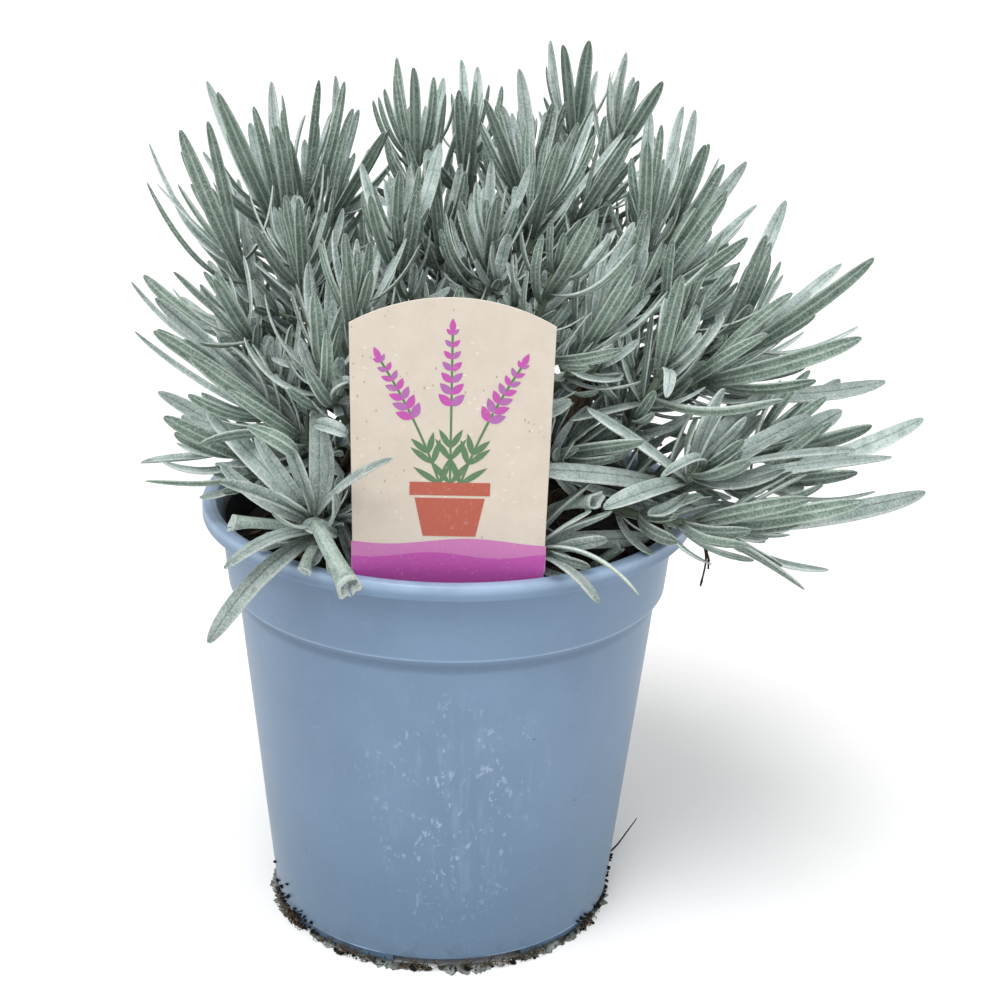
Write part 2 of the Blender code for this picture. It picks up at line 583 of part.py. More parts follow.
# ---------------------------------------------------------------- the pot and what it holds
def make_pot(parts, helpers, finish):
    """Moulded round pot: rolled rim, stacking collar, tapered body, raised floor with drain holes."""
    h, rim_low = POT_HEIGHT, POT_HEIGHT - RIM_DEPTH
    profile = [
        (0.0, FLOOR_TOP), (BASE_RADIUS - 0.0024, FLOOR_TOP), (BASE_RADIUS - 0.0010, FLOOR_TOP + 0.0014),
        (BODY_TOP_RADIUS - WALL, BODY_TOP + 0.0004), (COLLAR_FOOT_RADIUS - WALL, COLLAR_FOOT + 0.0004),
        (COLLAR_TOP_RADIUS - WALL, rim_low - 0.0010), (RIM_INNER_RADIUS - 0.0018, rim_low + 0.0006),
        (RIM_INNER_RADIUS - 0.0006, h - 0.0010), (RIM_INNER_RADIUS + 0.0006, h),
        (RIM_RADIUS - 0.0008, h - 0.0002), (RIM_RADIUS, h - 0.0010), (RIM_RADIUS, rim_low + 0.0005),
        (RIM_RADIUS - 0.0006, rim_low), (COLLAR_TOP_RADIUS, rim_low - 0.0006),
        (COLLAR_FOOT_RADIUS, COLLAR_FOOT), (COLLAR_FOOT_RADIUS - 0.0010, COLLAR_FOOT - 0.0024),
        (BODY_TOP_RADIUS, BODY_TOP), (BASE_RADIUS, 0.0018), (BASE_RADIUS - 0.0008, 0.0004),
        (BASE_RADIUS - 0.0014, 0.0), (BASE_RADIUS - 0.0024, 0.0), (BASE_RADIUS - 0.0024, FLOOR_UNDERSIDE),
        (0.0, FLOOR_UNDERSIDE),
    ]
    pot = turned("pot", profile, parts, finish)

    arches = bmesh.new()
    for k in range(FOOT_ARCHES):
        bearing = FIRST_ARCH_BEARING + k * 2 * math.pi / FOOT_ARCHES
        matrix = Matrix.Rotation(bearing, 4, "Z") @ Matrix.Translation((BASE_RADIUS, 0, 0))
        size = Matrix.Diagonal((0.012, FOOT_ARCH_WIDTH, FOOT_ARCH_HEIGHT * 2, 1))
        bmesh.ops.create_cube(arches, size=1.0, matrix=matrix @ size)
    combine(pot, as_helper(object_from_bmesh("foot_arch_cutter", arches, helpers)), "DIFFERENCE")

    drains = bmesh.new()
    for k in range(DRAIN_HOLES):
        turn = (k + 0.5) * 2 * math.pi / DRAIN_HOLES
        place = (DRAIN_CIRCLE_RADIUS * math.cos(turn), DRAIN_CIRCLE_RADIUS * math.sin(turn))
        cylinder(drains, DRAIN_HOLE_RADIUS, FLOOR_UNDERSIDE - 0.001, FLOOR_TOP + 0.001, place, segments=10)
    combine(pot, as_helper(object_from_bmesh("drain_cutter", drains, helpers)), "DIFFERENCE")
    smooth(pot)
    return pot


def label_matrix():
    place = Matrix.Translation(LABEL_PLACE)
    upright = Matrix.Rotation(math.radians(90) - LABEL_LEAN, 4, "X")
    return place @ Matrix.Rotation(LABEL_YAW, 4, "Z") @ upright


def make_soil(parts, helpers, finish):
    """The root ball: it fills the pot to below the rim, with sockets for the woody stems and label."""
    gap = SEAT_GAP
    profile = [
        (0.0, SOIL_CROWN), (0.020, SOIL_CROWN - 0.0002), (0.042, SOIL_CROWN - 0.0010),
        (COLLAR_TOP_RADIUS - WALL - gap - 0.0010, SOIL_EDGE),
        (COLLAR_FOOT_RADIUS - WALL - gap, COLLAR_FOOT + 0.0004),
        (BODY_TOP_RADIUS - WALL - gap, BODY_TOP + 0.0002),
        (BASE_RADIUS - 0.0010 - gap, FLOOR_TOP + 0.0014 + gap), (BASE_RADIUS - 0.0024 - gap, FLOOR_TOP + gap),
        (0.0, FLOOR_TOP + gap),
    ]
    soil = turned("potting_soil", profile, parts, finish)

    sockets = bmesh.new()
    for foot, _ in WOODY_STEMS.values():
        place = (foot[0] * MM, foot[1] * MM)
        cylinder(sockets, TRUNK_R * MM + gap, TRUNK_FOOT * MM - gap, 0.120, place, segments=12)
    combine(soil, as_helper(object_from_bmesh("stem_socket_cutter", sockets, helpers)), "DIFFERENCE")

    slot = bmesh.new()
    depth = LABEL_STAKE_END - 0.001
    size = Matrix.Diagonal((2 * LABEL_POCKET_HALF_WIDTH + 2 * gap, 0.0 - depth, LABEL_THICKNESS + 2 * gap, 1))
    bmesh.ops.create_cube(slot, size=1.0, matrix=Matrix.Translation((0, depth / 2, 0)) @ size)
    cutter = as_helper(object_from_bmesh("label_slot_cutter", slot, helpers))
    cutter.matrix_world = label_matrix()
    combine(soil, cutter, "DIFFERENCE")
    smooth(soil)
    return soil


def label_outline():
    """The card with its arched top, drawn in to a stake below the rim; heights are above the rim's top."""
    half, shoulder, arch = LABEL_HALF_WIDTH, LABEL_SHOULDER, LABEL_ARCH
    radius = (half * half + arch * arch) / (2 * arch)
    reach = math.asin(half / radius)
    top = [(radius * math.sin(a), shoulder + arch - radius * (1 - math.cos(a)))
           for a in np.linspace(reach, -reach, 17)]
    low = [(half - 0.0007, -0.0013), (half - 0.0060, -0.0042), (half - 0.0076, -0.0049),
           (LABEL_POCKET_HALF_WIDTH, LABEL_POCKET), (LABEL_STAKE_HALF_WIDTH, LABEL_STAKE_END + 0.004)]
    left = [(-x, y) for x, y in low]
    return top + left + [(0.0, LABEL_STAKE_END)] + low[::-1]


def make_label(parts, finish):
    curve = bpy.data.curves.new("plant_label", "CURVE")
    curve.dimensions = "2D"
    curve.fill_mode = "BOTH"
    curve.extrude = LABEL_THICKNESS / 2
    outline = label_outline()
    spline = curve.splines.new("POLY")
    spline.points.add(len(outline) - 1)
    for point, (x, y) in zip(spline.points, outline):
        point.co = (x, y, 0.0, 1.0)
    spline.use_cyclic_u = True
    label = add_object("plant_label", curve, parts, finish)
    label.matrix_world = label_matrix()
    return label


# ---------------------------------------------------------------- the plant
def make_woody_stem(name, foot, arms, parts, helpers, finish):
    """A short trunk in its socket, with arms that end in the knobby heads of earlier cuts."""
    trunk = bmesh.new()
    cylinder(trunk, TRUNK_R * MM, TRUNK_FOOT * MM, TRUNK_TOP * MM, (foot[0] * MM, foot[1] * MM), segments=10)
    stem = object_from_bmesh("woody_stem_" + name, trunk, parts, finish)
    for k, path in enumerate(arms):
        line = bezier(path, np.linspace(0, 1, 7))
        radii = np.linspace(ARM_R, ARM_R * 0.9, 7) * MM
        arm = tube_mesh(f"{name}_arm_{k}", line * MM, radii, helpers, sides=6)
        combine(stem, as_helper(arm), "UNION")
        head = bmesh.new()
        bmesh.ops.create_uvsphere(head, u_segments=10, v_segments=6, radius=HEAD_R * MM,
                                  matrix=Matrix.Translation(Vector(path[3] * MM)))
        combine(stem, as_helper(object_from_bmesh(f"{name}_head_{k}", head, helpers)), "UNION")
    smooth(stem)
    return stem


def add_leaf(bm, leaf):
    """A keeled leaf, lofted through three-cornered sections that widen, narrow and meet at its point."""
    t, points, up, side = leaf_frames(leaf, 25)
    half = half_width(t, leaf["width"])
    rings = []
    for i in (0, 8, 17) if leaf["length"] > SHORT_LEAF else (0, 14):
        corners = (points[i] + side[i] * half[i] + up[i] * 0.2, points[i] - side[i] * half[i] + up[i] * 0.2,
                   points[i] - up[i] * 0.6)
        rings.append([bm.verts.new(corner * MM) for corner in corners])
    tip = bm.verts.new(points[-1] * MM)
    bm.faces.new(rings[0])
    for low, high in zip(rings, rings[1:]):
        for j in range(3):
            k = (j + 1) % 3
            bm.faces.new((low[k], low[j], high[j], high[k]))
    last = rings[-1]
    for j in range(3):
        bm.faces.new((last[(j + 1) % 3], last[j], tip))


def make_shoot(number, shoot, parts, helpers, finish):
    """A square green stem with its tuft of paired leaves, joined as one body."""
    line = np.vstack([shoot["line"], shoot["place"] + shoot["axis"] * (shoot["tuft"] - 0.5)])
    radii = np.linspace(STEM_R, STEM_R * 0.85, len(line)) * MM
    stem = tube_mesh(f"leafy_shoot_{number:02d}", line * MM, radii, parts, finish)
    bm = bmesh.new()
    for leaf in shoot["leaves"]:
        add_leaf(bm, leaf)
    bmesh.ops.recalc_face_normals(bm, faces=bm.faces)
    leaves = as_helper(object_from_bmesh(f"leaves_{number:02d}", bm, helpers))
    combine(stem, leaves, "UNION", use_self=True)
    return stem


def main():
    clear_scene()
    parts = new_collection("potted_lavender")
    helpers = new_collection("cutters_and_guides")
    pot_blue = material("pot_plastic", (0.22, 0.33, 0.46), 0.42)
    peat = material("peat_soil", (0.020, 0.014, 0.010), 0.95)
    card = material("label_card", (0.70, 0.62, 0.52), 0.75)
    bark = material("woody_bark", (0.110, 0.085, 0.060), 0.90)
    leaf_green = material("felted_leaf", (0.26, 0.33, 0.31), 0.80)

    make_pot(parts, helpers, pot_blue)
    make_soil(parts, helpers, peat)
    make_label(parts, card)
    woody_stems, shoots = grow_plant()
    for name, arms in woody_stems.items():
        make_woody_stem(name, WOODY_STEMS[name][0], arms, parts, helpers, bark)
    for number, shoot in enumerate(shoots, start=1):
        make_shoot(number, shoot, parts, helpers, leaf_green)
    for obj in bpy.data.objects:
        obj.location -= Vector(CENTRE)


main()
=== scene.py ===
"""The looks of the potted lavender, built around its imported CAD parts.

Metres in the CAD frame. The plant is grown again here by the CAD's own planting plan, in millimetres
round the pot's axis, and each leaf and stem of it is then modelled finely. Leaves too small for the CAD
are added.
"""

import math

import bmesh
import bpy
import numpy as np
from mathutils import Matrix, Vector


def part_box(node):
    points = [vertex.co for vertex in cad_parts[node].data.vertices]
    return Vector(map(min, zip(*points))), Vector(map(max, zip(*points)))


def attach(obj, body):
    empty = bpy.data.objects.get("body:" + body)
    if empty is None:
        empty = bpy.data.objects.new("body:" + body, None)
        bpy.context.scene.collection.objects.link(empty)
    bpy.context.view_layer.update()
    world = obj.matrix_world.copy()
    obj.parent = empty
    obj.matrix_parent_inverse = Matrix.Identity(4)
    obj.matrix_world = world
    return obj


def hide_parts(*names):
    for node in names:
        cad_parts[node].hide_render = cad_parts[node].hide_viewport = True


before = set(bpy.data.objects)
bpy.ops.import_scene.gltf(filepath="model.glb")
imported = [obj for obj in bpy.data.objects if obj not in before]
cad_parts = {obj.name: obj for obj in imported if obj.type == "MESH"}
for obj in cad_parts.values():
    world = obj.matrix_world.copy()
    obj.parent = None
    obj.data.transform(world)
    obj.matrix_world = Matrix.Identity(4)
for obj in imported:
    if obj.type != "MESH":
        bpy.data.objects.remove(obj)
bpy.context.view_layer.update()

MM = 0.001
# The pot's axis in the frame, and its main sizes, read from its solid.
POT_LOW, POT_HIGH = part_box("pot")
POT_AXIS = np.array([(POT_LOW.x + POT_HIGH.x) / 2, (POT_LOW.y + POT_HIGH.y) / 2, 0.0])
POT_HEIGHT = POT_HIGH.z / MM
RIM_RADIUS = (POT_HIGH.x - POT_LOW.x) / 2 / MM
# The middle of the crown, low down, round which the leaves' colour is darkened as painted shade.
PAINTED_SHADE_CENTRE = POT_AXIS + np.array([0.003, 0.004, 0.140])
PAINTED_SHADE_CENTRE_SQUASH = 0.72

# ---------------------------------------------------------------- planting plan, in millimetres
SOIL = 105.0
TRUNK_FOOT, TRUNK_TOP, TRUNK_R = 86.0, 109.0, 3.4
ARM_R, HEAD_R, STEM_R = 2.6, 4.0, 1.05
SEAT = 0.35
LEAF_WIDTH = 5.0
TOP_LEAF_SHARE = 0.74
WIDE_BELOW, NARROW_ABOVE = 138.0, 168.0
LEAF_REACH = 38.0
PAIR_STEP = 2.3
SEED = 4
# Where the label stands, half the width that it takes up, and its top.
LABEL_X, LABEL_Y, LABEL_ROOM, LABEL_TOP = 1.8, -56.2, 24.3, 186.5
# What leaves keep clear of: the pot between an inner and an outer radius, below its rim and at it, and the
# soil's mound.
RIM_FROM, RIM_TO = 113.0, 117.9
WALL_RADII, RIM_RADII = (57.9, 61.1), (60.9, 65.7)
MOUND_RADIUS, MOUND_TOP = 62.0, SOIL + 2.0

# Each woody stem: its place at the soil, and the knobby heads that the green shoots grow from.
WOODY_STEMS = {
    "left": ((-13, -2), [(-27, -20, 127), (-31, 10, 146)]),
    "centre": ((2, -6), [(8, -25, 130), (3, 2, 150)]),
    "right": ((14, 0), [(36, -19, 128), (35, 8, 146)]),
    "back": ((1, 13), [(10, 30, 152), (-24, 34, 130), (36, 33, 130)]),
}
# Each green shoot: the place of its tuft, the bearing and climb of the tuft's axis in degrees, the reach
# of its longest leaves and its number of leaf pairs, then the leaves that stand out from the rule, as
# (bearing, climb, length, bow) and, for a slender leaf, its share of the usual width. A leaf arches where
# its bow is above 0 and hangs like a bowl's side below 0. Bows and shares are in hundredths.
SHOOTS = [
    ((-29, -51, 126), -120, 45, 36, 4, [(-150, 30, 30, 6), (150, 35, 40, 5), (100, 55, 35, -6),
        (-135, 5, 32, 10), (-40, 42, 34, 10, 85), (-130, -25, 42, 16), (-65, -15, 26, 22),
        (-105, -25, 14, 10), (-125, 35, 16, 0)]),
    ((58, -36, 134), -25, 45, 40, 5, [(-150, 15, 42, 3), (-150, 0, 42, 8), (-160, 35, 34, 5),
        (-90, 65, 26, -12), (-30, 20, 44, 5), (-5, 20, 54, -2), (25, 20, 34, -2), (40, 30, 42, 2),
        (-125, 5, 18, 40)]),
    ((-37, -36, 146), -175, 25, 42, 5, [(175, 30, 46, -16, 45), (165, 35, 46, -14), (-160, 40, 40, -10),
        (-150, 40, 36, -6), (145, 25, 32, -8), (-140, 15, 34, 12)]),
    ((-40, -26, 146), 170, 75, 26, 5, []),
    ((-46, -30, 135), -175, 15, 34, 5, [(-150, 30, 34, -14), (150, 20, 34, -20), (-140, 25, 28, -10),
        (-140, 10, 34, -22, 50), (-115, 25, 22, -4)]),
    ((-48, -22, 162), 165, 55, 30, 5, [(125, 35, 30, -6), (-115, 50, 26, -6), (-110, 15, 26, -8),
        (145, 15, 46, -20, 40), (-95, 10, 30, 30, 80), (-85, 55, 22, 0)]),
    ((-29, -42, 157), -175, 85, 30, 6, []),
    ((-52, -4, 173), 150, 60, 44, 6, [(140, 40, 50, -16, 45), (-130, 45, 42, -26, 45),
        (-120, 60, 46, -14), (125, 40, 42, -10), (-120, 70, 42, -5), (110, 50, 36, -3)]),
    ((-45, 14, 181), 145, 60, 46, 6, [(125, 45, 54, -16), (-115, 55, 50, -4), (105, 55, 44, -4),
        (-90, 65, 38, -10), (-115, 30, 30, -10)]),
    ((-42, 34, 181), 85, 65, 44, 6, [(75, 60, 44, -14), (-40, 70, 42, -16), (80, 50, 40, -12),
        (-100, 60, 32, -5)]),
    ((-35, 22, 182), 45, 55, 38, 5, [(70, 50, 38, -12), (-30, 55, 34, -10), (95, 50, 32, 5),
        (-75, 50, 22, 0)]),
    ((-37, -12, 172), 120, 75, 34, 6, [(-85, 65, 32, -4), (80, 40, 38, -10), (-120, 45, 28, -10),
        (120, 30, 30, -10)]),
    ((-22, -40, 170), 100, 80, 34, 5, [(-95, 65, 32, 0), (80, 40, 28, -5), (-65, 60, 24, -5)]),
    ((-13, -18, 181), 110, 80, 30, 6, [(-115, 50, 34, -10), (115, 40, 34, -5), (70, 45, 36, -8),
        (-70, 65, 28, -10), (-60, 45, 18, -20), (-100, 60, 24, 0), (-90, 70, 22, 0)]),
    ((-11, 28, 192), 100, 65, 38, 6, [(110, 50, 42, -6), (-95, 65, 38, -2), (105, 45, 38, -5),
        (80, 55, 36, 0)]),
    ((2, 34, 192), 95, 65, 38, 6, [(95, 55, 40, 0), (-100, 65, 30, -4), (80, 45, 40, -10),
        (-85, 60, 34, 0)]),
    ((-4, 8, 183), 120, 70, 30, 5, [(-120, 65, 32, -10), (75, 45, 28, -10), (-120, 75, 26, 0)]),
    ((9, -22, 181), 95, 80, 30, 6, [(-135, 50, 24, -22), (-120, 50, 30, -16), (-80, 65, 22, -5),
        (100, 35, 32, -2), (90, 45, 30, 0), (-40, 40, 36, -12), (-75, 55, 20, 8)]),
    ((20, 4, 186), 60, 55, 36, 6, [(-70, 60, 32, -12), (-60, 60, 36, -10), (55, 45, 38, -6),
        (45, 40, 42, -6), (-75, 55, 26, -8)]),
    ((19, 18, 189), 135, 65, 38, 5, [(-120, 55, 42, -5), (105, 35, 38, -5), (95, 50, 42, -10)]),
    ((19, 36, 192), 95, 65, 30, 5, []),
    ((31, 50, 198), 85, 65, 36, 6, [(105, 55, 38, -6), (-105, 65, 36, 0), (-80, 65, 38, 2),
        (70, 45, 34, -5)]),
    ((39, 36, 198), 45, 60, 36, 6, [(75, 45, 40, -10), (-60, 50, 38, -6)]),
    ((32, 14, 187), 15, 50, 34, 5, [(-55, 50, 36, -5), (65, 40, 26, -5)]),
    ((22, -38, 178), 5, 70, 30, 6, [(-135, 55, 18, -20), (-95, 65, 20, -15), (-55, 50, 32, -6),
        (50, 30, 34, -6), (-45, 30, 32, -20)]),
    ((31, -38, 165), 5, 60, 36, 5, [(-60, 50, 38, -6), (-90, 60, 24, -10), (70, 40, 42, -5)]),
    ((49, 6, 180), 85, 75, 38, 6, [(-90, 65, 38, -3), (90, 50, 44, -3), (80, 50, 46, -8)]),
    ((57, 26, 183), 50, 65, 36, 5, [(70, 50, 40, -10), (85, 60, 36, -8), (-70, 60, 28, -8)]),
    ((53, 16, 175), 30, 45, 38, 5, [(50, 45, 46, -8), (-45, 55, 38, -6), (45, 40, 42, -8)]),
    ((51, 2, 171), 15, 35, 38, 5, [(35, 30, 42, -5), (-45, 35, 36, -12), (-45, 55, 34, -5),
        (-40, 50, 28, -5)]),
    ((57, -4, 164), 20, 40, 30, 4, []),
    ((70, 4, 157), 45, 60, 38, 5, [(-60, 65, 38, -6), (-40, 60, 34, -10), (50, 55, 42, -4),
        (-55, 65, 28, -4)]),
    ((72, -8, 159), 20, 35, 42, 5, [(35, 30, 42, -5), (-35, 40, 46, -4), (-40, 30, 30, -4)]),
    ((62, -16, 154), 5, 15, 42, 4, [(35, 10, 32, -5), (-40, 25, 50, -12), (15, 0, 54, -12)]),
    ((50, -32, 157), 0, 65, 32, 5, [(50, 40, 26, -4), (30, 30, 32, -6), (-65, 70, 30, -5),
        (-40, 15, 38, -16), (-90, 0, 18, 30), (-140, 0, 26, 3)]),
    ((41, -12, 166), 40, 70, 36, 4, []),
    ((75, -16, 134), 10, 30, 38, 5, [(35, 25, 38, -3), (-40, 35, 46, -6), (30, 15, 48, -4)]),
    ((75, -28, 133), 5, 20, 40, 4, [(-35, 30, 44, -5), (20, 10, 52, -8), (30, 10, 36, -4)]),
    ((63, -42, 126), -15, 5, 40, 5, [(-40, 25, 34, -16), (-30, 20, 42, -16), (-10, 15, 52, -14),
        (-50, -5, 38, 3), (-55, -5, 24, -5), (30, -20, 28, 0)]),
    ((26, -46, 167), -15, 15, 22, 4, [(-50, 20, 24, -15), (-55, 15, 16, 10), (55, 0, 18, 0)]),
    ((20, -48, 121), -30, 5, 28, 4, [(-40, 15, 24, 5), (-45, -15, 26, 20), (-40, -5, 32, 18),
        (25, -5, 38, 10)]),
    ((28, -36, 141), -5, 20, 30, 4, [(-40, 20, 26, 5)]),
    ((-1, -34, 158), 120, 80, 30, 4, []),
    ((10, 56, 158), 80, 45, 36, 6, []),
    ((-26, 48, 152), 110, 40, 38, 6, []),
    ((-52, 30, 146), 150, 35, 38, 6, []),
    ((44, 46, 152), 55, 35, 38, 6, []),
    ((62, 20, 146), 20, 35, 38, 5, []),
    ((2, 64, 134), 95, 10, 34, 5, []),
    ((-42, 48, 130), 130, 10, 32, 5, []),
]

UP = np.array([0.0, 0.0, 1.0])
# How far along the axis from the tuft's place, in millimetres, each leaf that stands out is set.
LEAF_SETS = (-1.0, 0.6, 2.2, -2.6, 3.8, -4.2, 5.4, -5.8, 7.0)
# How often a leaf and a stem are tried, and the share of a leaf's length that may lie in its own shoot.
TRIES, STEM_TRIES = 16, 60
GROWN_FREE = 0.28
NOT_FREE = 1


# ---------------------------------------------------------------- the planting plan, worked out
def unit(v):
    v = np.asarray(v, float)
    return v / np.linalg.norm(v)


def units(rows):
    return rows / np.linalg.norm(rows, axis=1)[:, None]


def lerp(a, b, t):
    return a + (b - a) * t


def direction(bearing, climb):
    bearing, climb = math.radians(bearing), math.radians(climb)
    level = math.cos(climb)
    return np.array([level * math.cos(bearing), level * math.sin(bearing), math.sin(climb)])


def bezier(path, t):
    t = np.asarray(t, float)[:, None]
    a, b, c, d = (np.asarray(p, float) for p in path)
    return (1 - t) ** 3 * a + 3 * (1 - t) ** 2 * t * b + 3 * (1 - t) * t**2 * c + t**3 * d


class Room:
    """The crown's space in small cells: core has the number of what fills each, wide its surroundings too."""

    CELL = 0.55
    LOW = np.array([-112.0, -100.0, 88.0])
    SIZE = np.array([458, 360, 278])
    NEAR = np.array(list(np.ndindex(3, 3, 3))) - 1

    def __init__(self):
        self.wide, self.core = np.zeros(self.SIZE, np.int16), np.zeros(self.SIZE, np.int16)

    def cells(self, points):
        return np.clip(np.floor((points - self.LOW) / self.CELL).astype(int), 0, self.SIZE - 1)

    def mark_core(self, points, owner):
        self.core[tuple(self.cells(points).T)] = owner

    def mark(self, points, owner):
        self.mark_core(points, owner)
        cells = np.unique(self.cells(points), axis=0)
        cells = (cells[:, None, :] + self.NEAR).reshape(-1, 3)
        cells = tuple(np.clip(cells, 0, self.SIZE - 1).T)
        self.wide[cells] = np.where(self.wide[cells] == 0, owner, self.wide[cells])

    def look(self, grid, points, shoot):
        """For each point whether it lies in something else than this shoot, and whether it lies in it."""
        owners = grid[tuple(self.cells(points).T)]
        mine = owners // 100 == shoot["owner"] // 100
        return (owners != 0) & ~mine, mine

    def keep_pot_and_label_free(self):
        x, y, z = (low + (np.arange(size) + 0.5) * self.CELL for low, size in zip(self.LOW, self.SIZE))
        x, y = x[:, None, None], y[:, None]
        r = np.hypot(x, y)
        inner, outer = (np.where(z > RIM_FROM, rim, wall) for wall, rim in zip(WALL_RADII, RIM_RADII))
        pot = (r < outer) & (r > inner) & (z < RIM_TO)
        soil = (r < MOUND_RADIUS) & (z < MOUND_TOP)
        lean = (z - 117.0) * 0.07
        label = (np.abs(x - LABEL_X) < LABEL_ROOM) & (np.abs(y - LABEL_Y + lean) < 1.1) & (z < LABEL_TOP)
        for grid in (self.wide, self.core):
            grid[pot | soil | label] = NOT_FREE


def points_in_tube(line, radius):
    along = units(np.gradient(line, axis=0))
    a = units(np.cross(along, [0.3, 0.5, 0.8]))
    b = np.cross(along, a)
    points = [line]
    for turn in np.arange(8) * math.pi / 4:
        for r in np.arange(radius, 0.3, -0.5):
            points.append(line + (a * math.cos(turn) + b * math.sin(turn)) * r)
    return np.concatenate(points)


def half_width(t, width):
    """A linear leaf: a narrow foot, nearly parallel sides, widest past the middle, and a blunt point."""
    foot = 0.48 + 0.52 * np.sin(np.clip(t / 0.45, 0, 1) * math.pi / 2)
    tip = np.sqrt(np.clip(1 - np.clip((t - 0.70) / 0.30, 0, 1) ** 2.3, 0, 1))
    return 0.5 * width * foot * tip


def leaf_frames(leaf, stations):
    """Fractions, points, upward normals and sideways directions along a leaf's midrib."""
    t = np.linspace(0, 1, stations)
    points = bezier(leaf["path"], t)
    along = units(np.gradient(points, axis=0))
    up = units(leaf["up"] - (along @ leaf["up"])[:, None] * along)
    turn = np.radians(leaf["twist"]) * t
    up = up * np.cos(turn)[:, None] + np.cross(along, up) * np.sin(turn)[:, None]
    return t, points, up, np.cross(up, along)


def points_in_leaf(leaf):
    t, points, up, side = leaf_frames(leaf, max(8, int(leaf["length"] / 0.5)))
    half = half_width(t, leaf["width"])
    found = []
    for s in np.linspace(-1, 1, max(3, int(leaf["width"] / 0.5))):
        line = points + side * (s * half)[:, None]
        for lift in (-0.45, 0.45):
            found.append(line + up * (lift * (1 - 0.6 * abs(s))))
    return np.concatenate(found), np.tile(t, len(found))


def across(axis):
    """A direction square to a tuft's axis, from which its pairs of leaves are turned."""
    for start in (np.array([1.0, 0.0, 0.0]), np.array([0.0, -1.0, 0.0])):
        square = start - (start @ axis) * axis
        if np.linalg.norm(square) > 0.35:
            break
    return unit(square)


def turned(axis, turn):
    """The direction square to an axis at this turn round it."""
    first = across(axis)
    return first * math.cos(turn) + np.cross(axis, first) * math.sin(turn)


def leaf_by_rule(base, axis, turn, open_foot, open_tip, length, width, twist):
    """A leaf that leaves its stem at open_foot degrees from the axis, and bends up to open_tip."""
    out = turned(axis, math.radians(turn))
    foot, tip = math.radians(open_foot), math.radians(open_tip)
    starts = math.cos(foot) * axis + math.sin(foot) * out
    ends = unit(math.cos(tip) * axis + math.sin(tip) * out + 0.25 * UP)
    a = base + out * SEAT
    b = a + starts * length * 0.34
    c = b + unit(starts * 0.35 + ends * 0.65) * length * 0.33
    d = c + ends * length * 0.35
    middle = (foot + tip) / 2
    up = unit(axis * math.sin(middle) - out * math.cos(middle))
    return {"path": (a, b, c, d), "up": up, "length": length, "width": width, "twist": twist}


def leaf_by_hand(base, axis, chord, bow, width, twist):
    """A leaf along a chosen chord, its upper face towards the tuft's axis."""
    length = np.linalg.norm(chord)
    along = chord / length
    square = axis - (axis @ along) * along
    out = chord - (chord @ axis) * axis
    out = unit(out) if np.linalg.norm(out) > 1e-3 else across(axis)
    if np.linalg.norm(square) > 0.1:
        up = unit(square + 0.25 * (UP - (UP @ along) * along))
    else:
        up = unit((out @ along) * along - out)
    a = base + out * SEAT
    d = base + chord
    b = a + (d - a) * 0.33 + up * bow * length
    c = a + (d - a) * 0.68 + up * bow * length * 0.9
    grown = length * (1 + 1.6 * bow * bow)
    return {"path": (a, b, c, d), "up": up, "length": grown, "width": width, "twist": twist}


def by_rule(base, axis, turn, foot, tip, length, width, twist=0, give=(3, 2, 0), least=(10, 0)):
    """A maker of one leaf: turn, foot and tip stray by give, and foot and tip open by least or more."""

    def builder(da, db, size):
        return leaf_by_rule(base, axis, turn + da * give[0], max(least[0], foot + db * give[1]),
                            max(least[1], tip + db * give[2]), length * size, width, twist)

    return builder


def by_hand(base, axis, bearing, climb, length, bow, width, twist):
    def builder(da, db, size):
        chord = direction(bearing + da * 1.2, climb + db * 1.2) * length * size
        return leaf_by_hand(base, axis, chord, bow, width, twist)

    return builder


def leaf_width(shoot, length, power):
    """Broad leaves on the low shoots, narrow ones at the top of the crown."""
    height = (shoot["place"][2] - WIDE_BELOW) / (NARROW_ABOVE - WIDE_BELOW)
    share = lerp(1.0, TOP_LEAF_SHARE, min(max(height, 0.0), 1.0))
    return LEAF_WIDTH * share * (length / LEAF_REACH) ** power


def on_stem(shoot, distance):
    """The place on a shoot's stem this far from the foot of its tuft; below the foot it follows the bend."""
    if distance >= 0:
        return shoot["place"] + shoot["axis"] * min(distance, shoot["tuft"] - 1.6)
    line = shoot["line"]
    for low, high in zip(line[-2::-1], line[:0:-1]):
        span = np.linalg.norm(high - low)
        if -distance <= span:
            return high + (low - high) * (-distance / span)
        distance += span
    return line[0]


def grow_woody_stems(room):
    """Paths of the woody arms, and every knobby head as (place, owner number)."""
    stems, heads = {}, []
    t = np.linspace(0, 1, 60)
    ball = np.array([(math.cos(u) * math.cos(v), math.sin(u) * math.cos(v), math.sin(v))
                     for u in np.arange(0, math.tau, 0.17) for v in np.arange(-1.5, 1.6, 0.17)])
    for owner, (name, (foot, tops)) in enumerate(WOODY_STEMS.items(), start=10):
        low = np.array([*foot, TRUNK_FOOT])
        room.mark(points_in_tube(low + (UP * (TRUNK_TOP - TRUNK_FOOT)) * t[:, None], TRUNK_R), owner)
        start = np.array([*foot, TRUNK_TOP - 2.0])
        stems[name] = []
        for top in tops:
            head = np.array(top, float)
            lean = (head - start) * np.array([0.25, 0.25, 0.0])
            path = (start, start + UP * 6.0, head - UP * 8.0 - lean, head)
            stems[name].append(path)
            room.mark(points_in_tube(bezier(path, t), ARM_R), owner)
            for r in (HEAD_R - 0.4, HEAD_R - 1.6):
                room.mark(head + ball * r, owner)
            heads.append((head, owner))
    return stems, heads


def nearest_heads(heads, place, axis):
    def cost(head):
        way = place - head[0]
        below = 40.0 if way[2] < 4.0 else 0.0
        return np.linalg.norm(way) + below - 10.0 * unit(way) @ axis

    return sorted(heads, key=cost)[:2]


